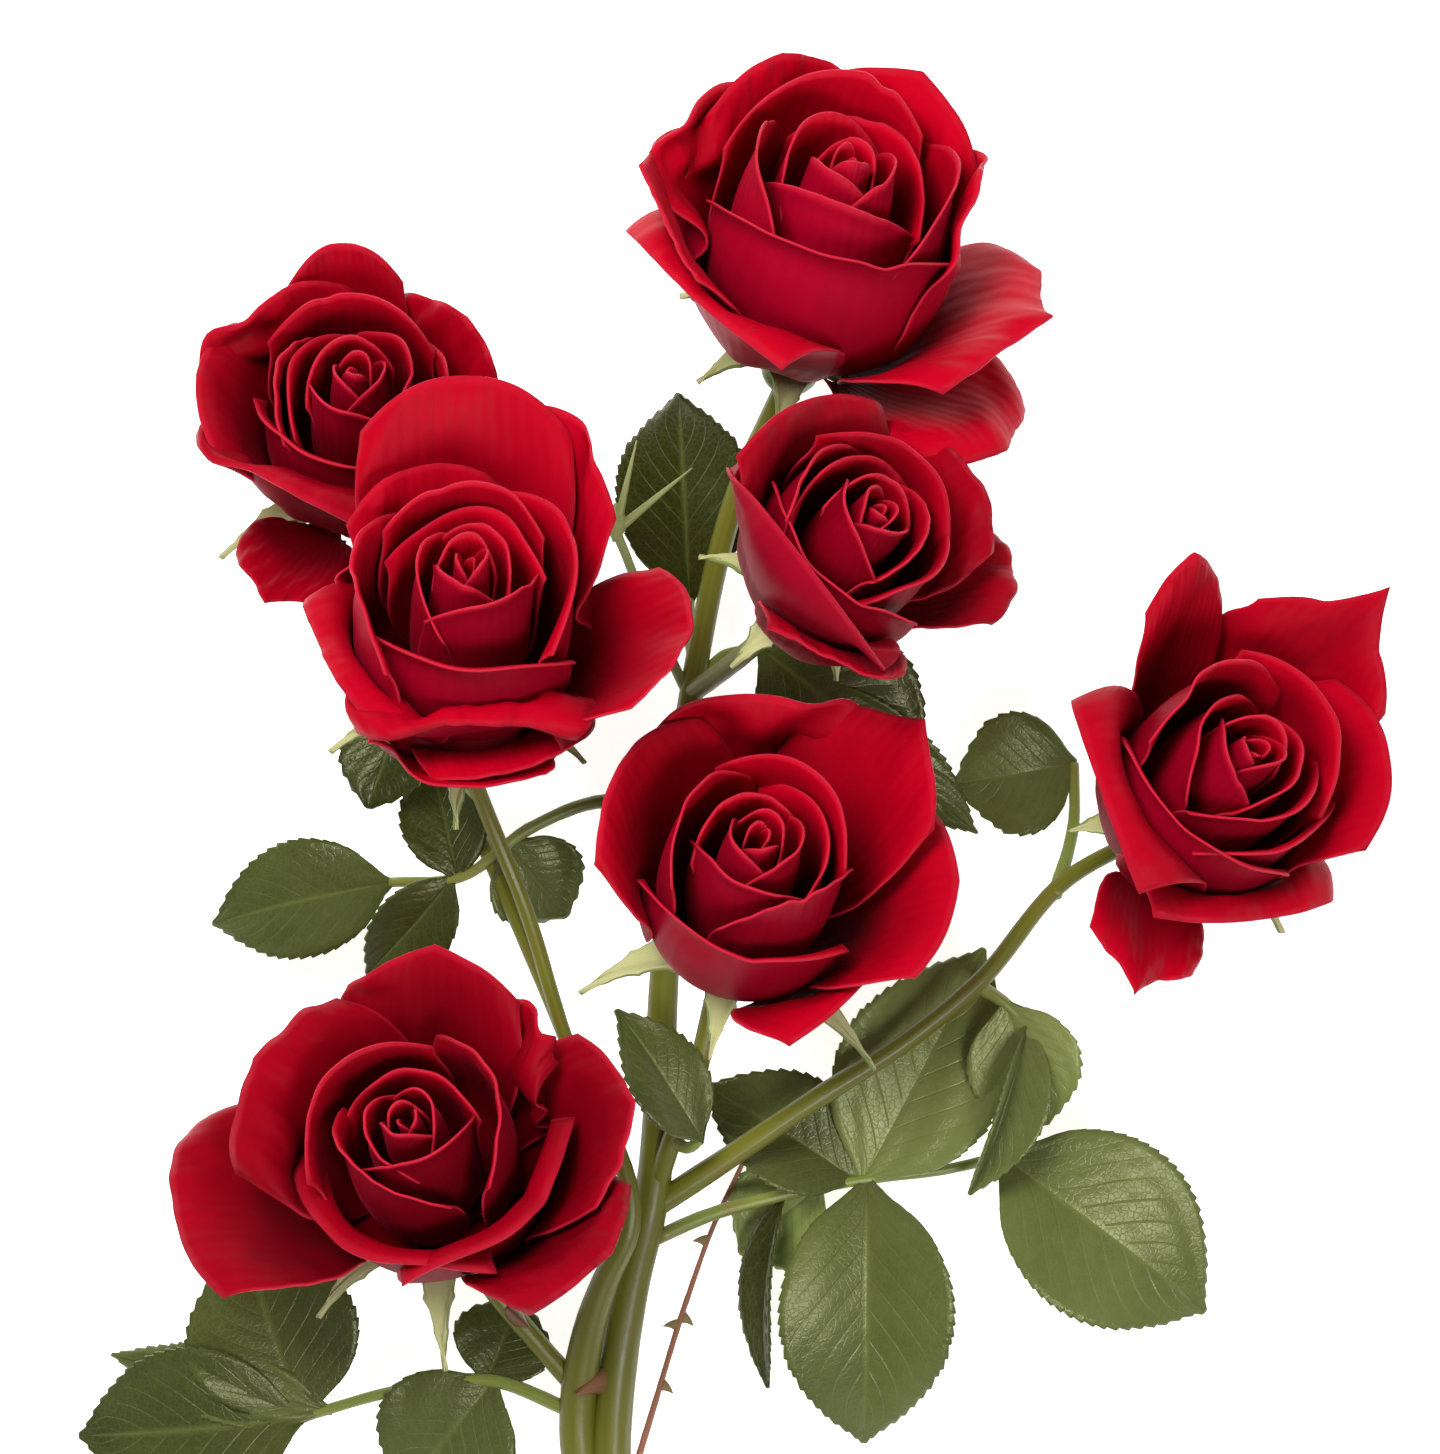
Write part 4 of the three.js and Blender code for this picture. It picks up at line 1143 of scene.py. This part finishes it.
def build_stem(name, skin, ends):
    """A stem or stalk with its prickles. Its flat end faces take the ends material."""
    s = bpy.context.scene.rose
    path, radii, prickles = STEMS[name]
    points = [place(p) for p in path]
    length = np.linalg.norm(np.diff(points, axis=0), axis=1).sum()
    rows = max(16, int(length / (STEM_ROW * MM)))
    bm = new_mesh()
    centres, tangents = add_tube(bm, points, radii, 20, rows, 0.0, 0.035, len(name))
    for face in bm.faces:
        if len(face.verts) > 4:
            face.material_index = 1
    for share, azimuth in prickles:
        row = round(share * rows)
        radius = float(along(radii, np.array([share]))[0]) * MM
        add_prickle(bm, centres[row], tangents[row], azimuth, radius, s.prickle_height)
    bmesh.ops.recalc_face_normals(bm, faces=bm.faces)
    finish_piece(f"green_{name}", bm, [skin, ends], [name])


def leaf_to_frame(points):
    """Leaflet points in the frame, kept just above the surface that the spray lies on."""
    moved = points * MM + SHIFT
    moved[:, 2] = np.maximum(moved[:, 2], LOWEST_LEAF * MM)
    return moved


def build_leaf(name, materials, seed):
    """A compound leaf: its petiole as one piece and its leaflets as another."""
    s = bpy.context.scene.rose
    petiole, leaflets = LEAVES[name]
    bm = new_mesh()
    add_tube(bm, [place(p) for p in petiole], (1.1, 0.9, 0.75), 12, 30, 0.1, 0.05, seed)
    finish_piece(f"petiole_{name}", bm, [materials[2]], [])
    bm = new_mesh()
    for i, row in enumerate(leaflets):
        length = np.linalg.norm(np.subtract(row[1], row[0]))
        surface = leaflet_surface(row, seed * 10 + i, s.tooth_depth)
        add_sheet(bm, surface, 22, 4 * tooth_count(length), leaf_to_frame, row[6])
    skins = [materials[1], materials[0], materials[0]]
    finish_piece(f"leaflets_{name}", bm, skins, [name], s.leaf_thickness)


# ---- Operators. ----


class ROSE_OT_blooms(bpy.types.Operator):
    """Build the seven blooms, petal by petal"""

    bl_idname = "rose.blooms"
    bl_label = "Blooms"

    def execute(self, context):
        materials = petal_materials()
        for name in BLOOMS:
            build_bloom(name, materials[name])
        return {"FINISHED"}


class ROSE_OT_calyces(bpy.types.Operator):
    """Build the green hip and the five sepals under each bloom"""

    bl_idname = "rose.calyces"
    bl_label = "Calyces"

    def execute(self, context):
        s = context.scene.rose
        pale = tuple(c * 1.25 for c in s.calyx_colour)
        materials = {
            "hip": plant_skin_material("hip_green", (0.14, 0.19, 0.04), (0.2, 0.1, 0.03), 0.4),
            "sepal_face": plant_skin_material("sepal_face", pale, (0.42, 0.38, 0.22), 0.7),
            "sepal_back": plant_skin_material("sepal_back", (0.16, 0.21, 0.06), (0.3, 0.14, 0.07), 0.55),
        }
        for name in BLOOMS:
            build_calyx(name, materials)
        return {"FINISHED"}


class ROSE_OT_stems(bpy.types.Operator):
    """Build the main stem, the side stem and the flower stalks, with their prickles"""

    bl_idname = "rose.stems"
    bl_label = "Stems"

    def execute(self, context):
        s = context.scene.rose
        skin = plant_skin_material("stem_skin", tuple(s.stem_colour), (0.17, 0.06, 0.025), 0.42)
        ends = plant_skin_material("cut_pith", (0.5, 0.48, 0.26), (0.3, 0.3, 0.1), 0.8)
        for name in STEMS:
            build_stem(name, skin, ends)
        return {"FINISHED"}


class ROSE_OT_leaves(bpy.types.Operator):
    """Build the compound leaves with serrated, veined leaflets"""

    bl_idname = "rose.leaves"
    bl_label = "Leaves"

    def execute(self, context):
        materials = leaf_materials()
        for seed, name in enumerate(LEAVES):
            build_leaf(name, materials, seed)
        return {"FINISHED"}


class ROSE_OT_small_parts(bpy.types.Operator):
    """Build the side bud and the thin dead twig"""

    bl_idname = "rose.small_parts"
    bl_label = "Bud and twig"

    def execute(self, context):
        skin = plant_skin_material("bud_green", (0.24, 0.28, 0.1), (0.3, 0.22, 0.08), 0.6)
        bm = new_mesh()
        add_tube(bm, [place(p) for p in BUD_STALK], (0.8, 0.65, 0.7), 10, 24, 0.0, 0.04, 1)
        end = place(BUD)
        swelling = [end + [0, y * MM, 0] for y in (-1.6, 1, 4)]
        add_tube(bm, swelling, (0.5, 1.7, 0.3), 14, 12, 0.1)
        for dx, dy in BUD_SEPALS:
            tip = end + np.array([dx, dy, 1]) * MM
            middle = (end + tip) / 2 + np.array([0, 0, 1]) * MM
            add_tube(bm, [end, middle, tip], (0.7, 0.45, 0.12), 8, 14, 0.2)
        finish_piece("green_side_bud", bm, [skin], ["side_bud"])
        bark = plant_skin_material("dry_bark", (0.3, 0.12, 0.07), (0.2, 0.16, 0.06), 0.7)
        bm = new_mesh()
        rows = 40
        centres, tangents = add_tube(bm, [place(p) for p in TWIG], (0.5, 0.42, 0.35), 10, rows, 0.0, 0.12, 2)
        for share, azimuth in TWIG_PRICKLES:
            row = round(share * rows)
            add_prickle(bm, centres[row], tangents[row], azimuth, 0.4 * MM, 1.8 * MM)
        finish_piece("brown_twig", bm, [bark], ["thin_twig"])
        return {"FINISHED"}


class ROSE_OT_stage(bpy.types.Operator):
    """Add the pale floor, the soft lights and the camera that looks down on the spray"""

    bl_idname = "rose.stage"
    bl_label = "Stage"

    def execute(self, context):
        scene = context.scene
        scene.view_settings.view_transform = "Standard"
        bm = bmesh.new()
        bmesh.ops.create_grid(bm, x_segments=2, y_segments=2, size=1.6)
        mesh = bpy.data.meshes.new("floor")
        bm.to_mesh(mesh)
        bm.free()
        floor = bpy.data.objects.new("floor", mesh)
        scene.collection.objects.link(floor)
        paper, _, shader = principled("pale_floor", Base_Color=(0.93, 0.93, 0.93, 1), Roughness=0.9)
        shader.inputs["Emission Color"].default_value = (1, 1, 1, 1)
        shader.inputs["Emission Strength"].default_value = 0.8
        mesh.materials.append(paper)

        world = bpy.data.worlds.new("studio")
        world.use_nodes = True
        world.node_tree.nodes["Background"].inputs["Color"].default_value = (1, 1, 1, 1)
        world.node_tree.nodes["Background"].inputs["Strength"].default_value = 0.3
        scene.world = world
        for name, offset, size, power in LAMPS:
            lamp = bpy.data.lights.new(name, "AREA")
            lamp.shape = "DISK"
            lamp.size = size
            lamp.energy = power
            light = bpy.data.objects.new(name, lamp)
            light.location = Vector(place(LIGHT_TARGET) + np.array(offset))
            light.rotation_euler = Vector(-np.array(offset)).to_track_quat("-Z", "Y").to_euler()
            light.visible_glossy = name == "fill"
            scene.collection.objects.link(light)

        camera = bpy.data.cameras.new("camera")
        camera.lens = 150
        camera.sensor_width = 36
        camera.clip_start = 0.01
        view = bpy.data.objects.new("camera", camera)
        view.location = Vector(place(CAMERA_TARGET) + CAMERA_RISE * UP)
        scene.collection.objects.link(view)
        scene.camera = view
        return {"FINISHED"}


class ROSE_PT_panel(bpy.types.Panel):
    bl_label = "Cut Spray Rose"
    bl_space_type = "VIEW_3D"
    bl_region_type = "UI"
    bl_category = "Rose"

    def draw(self, context):
        for operator in OPERATORS:
            self.layout.operator(operator.bl_idname)
        for name in RoseSettings.__annotations__:
            self.layout.prop(context.scene.rose, name)


OPERATORS = (
    ROSE_OT_stage,
    ROSE_OT_blooms,
    ROSE_OT_calyces,
    ROSE_OT_stems,
    ROSE_OT_leaves,
    ROSE_OT_small_parts,
)
CLASSES = (RoseSettings, *OPERATORS, ROSE_PT_panel)


def register():
    for cls in CLASSES:
        bpy.utils.register_class(cls)
    bpy.types.Scene.rose = bpy.props.PointerProperty(type=RoseSettings)


def unregister():
    del bpy.types.Scene.rose
    for cls in reversed(CLASSES):
        bpy.utils.unregister_class(cls)


def main():
    register()
    bpy.ops.rose.stage()
    bpy.ops.rose.blooms()
    bpy.ops.rose.calyces()
    bpy.ops.rose.stems()
    bpy.ops.rose.leaves()
    bpy.ops.rose.small_parts()


if __name__ == "__main__":
    main()
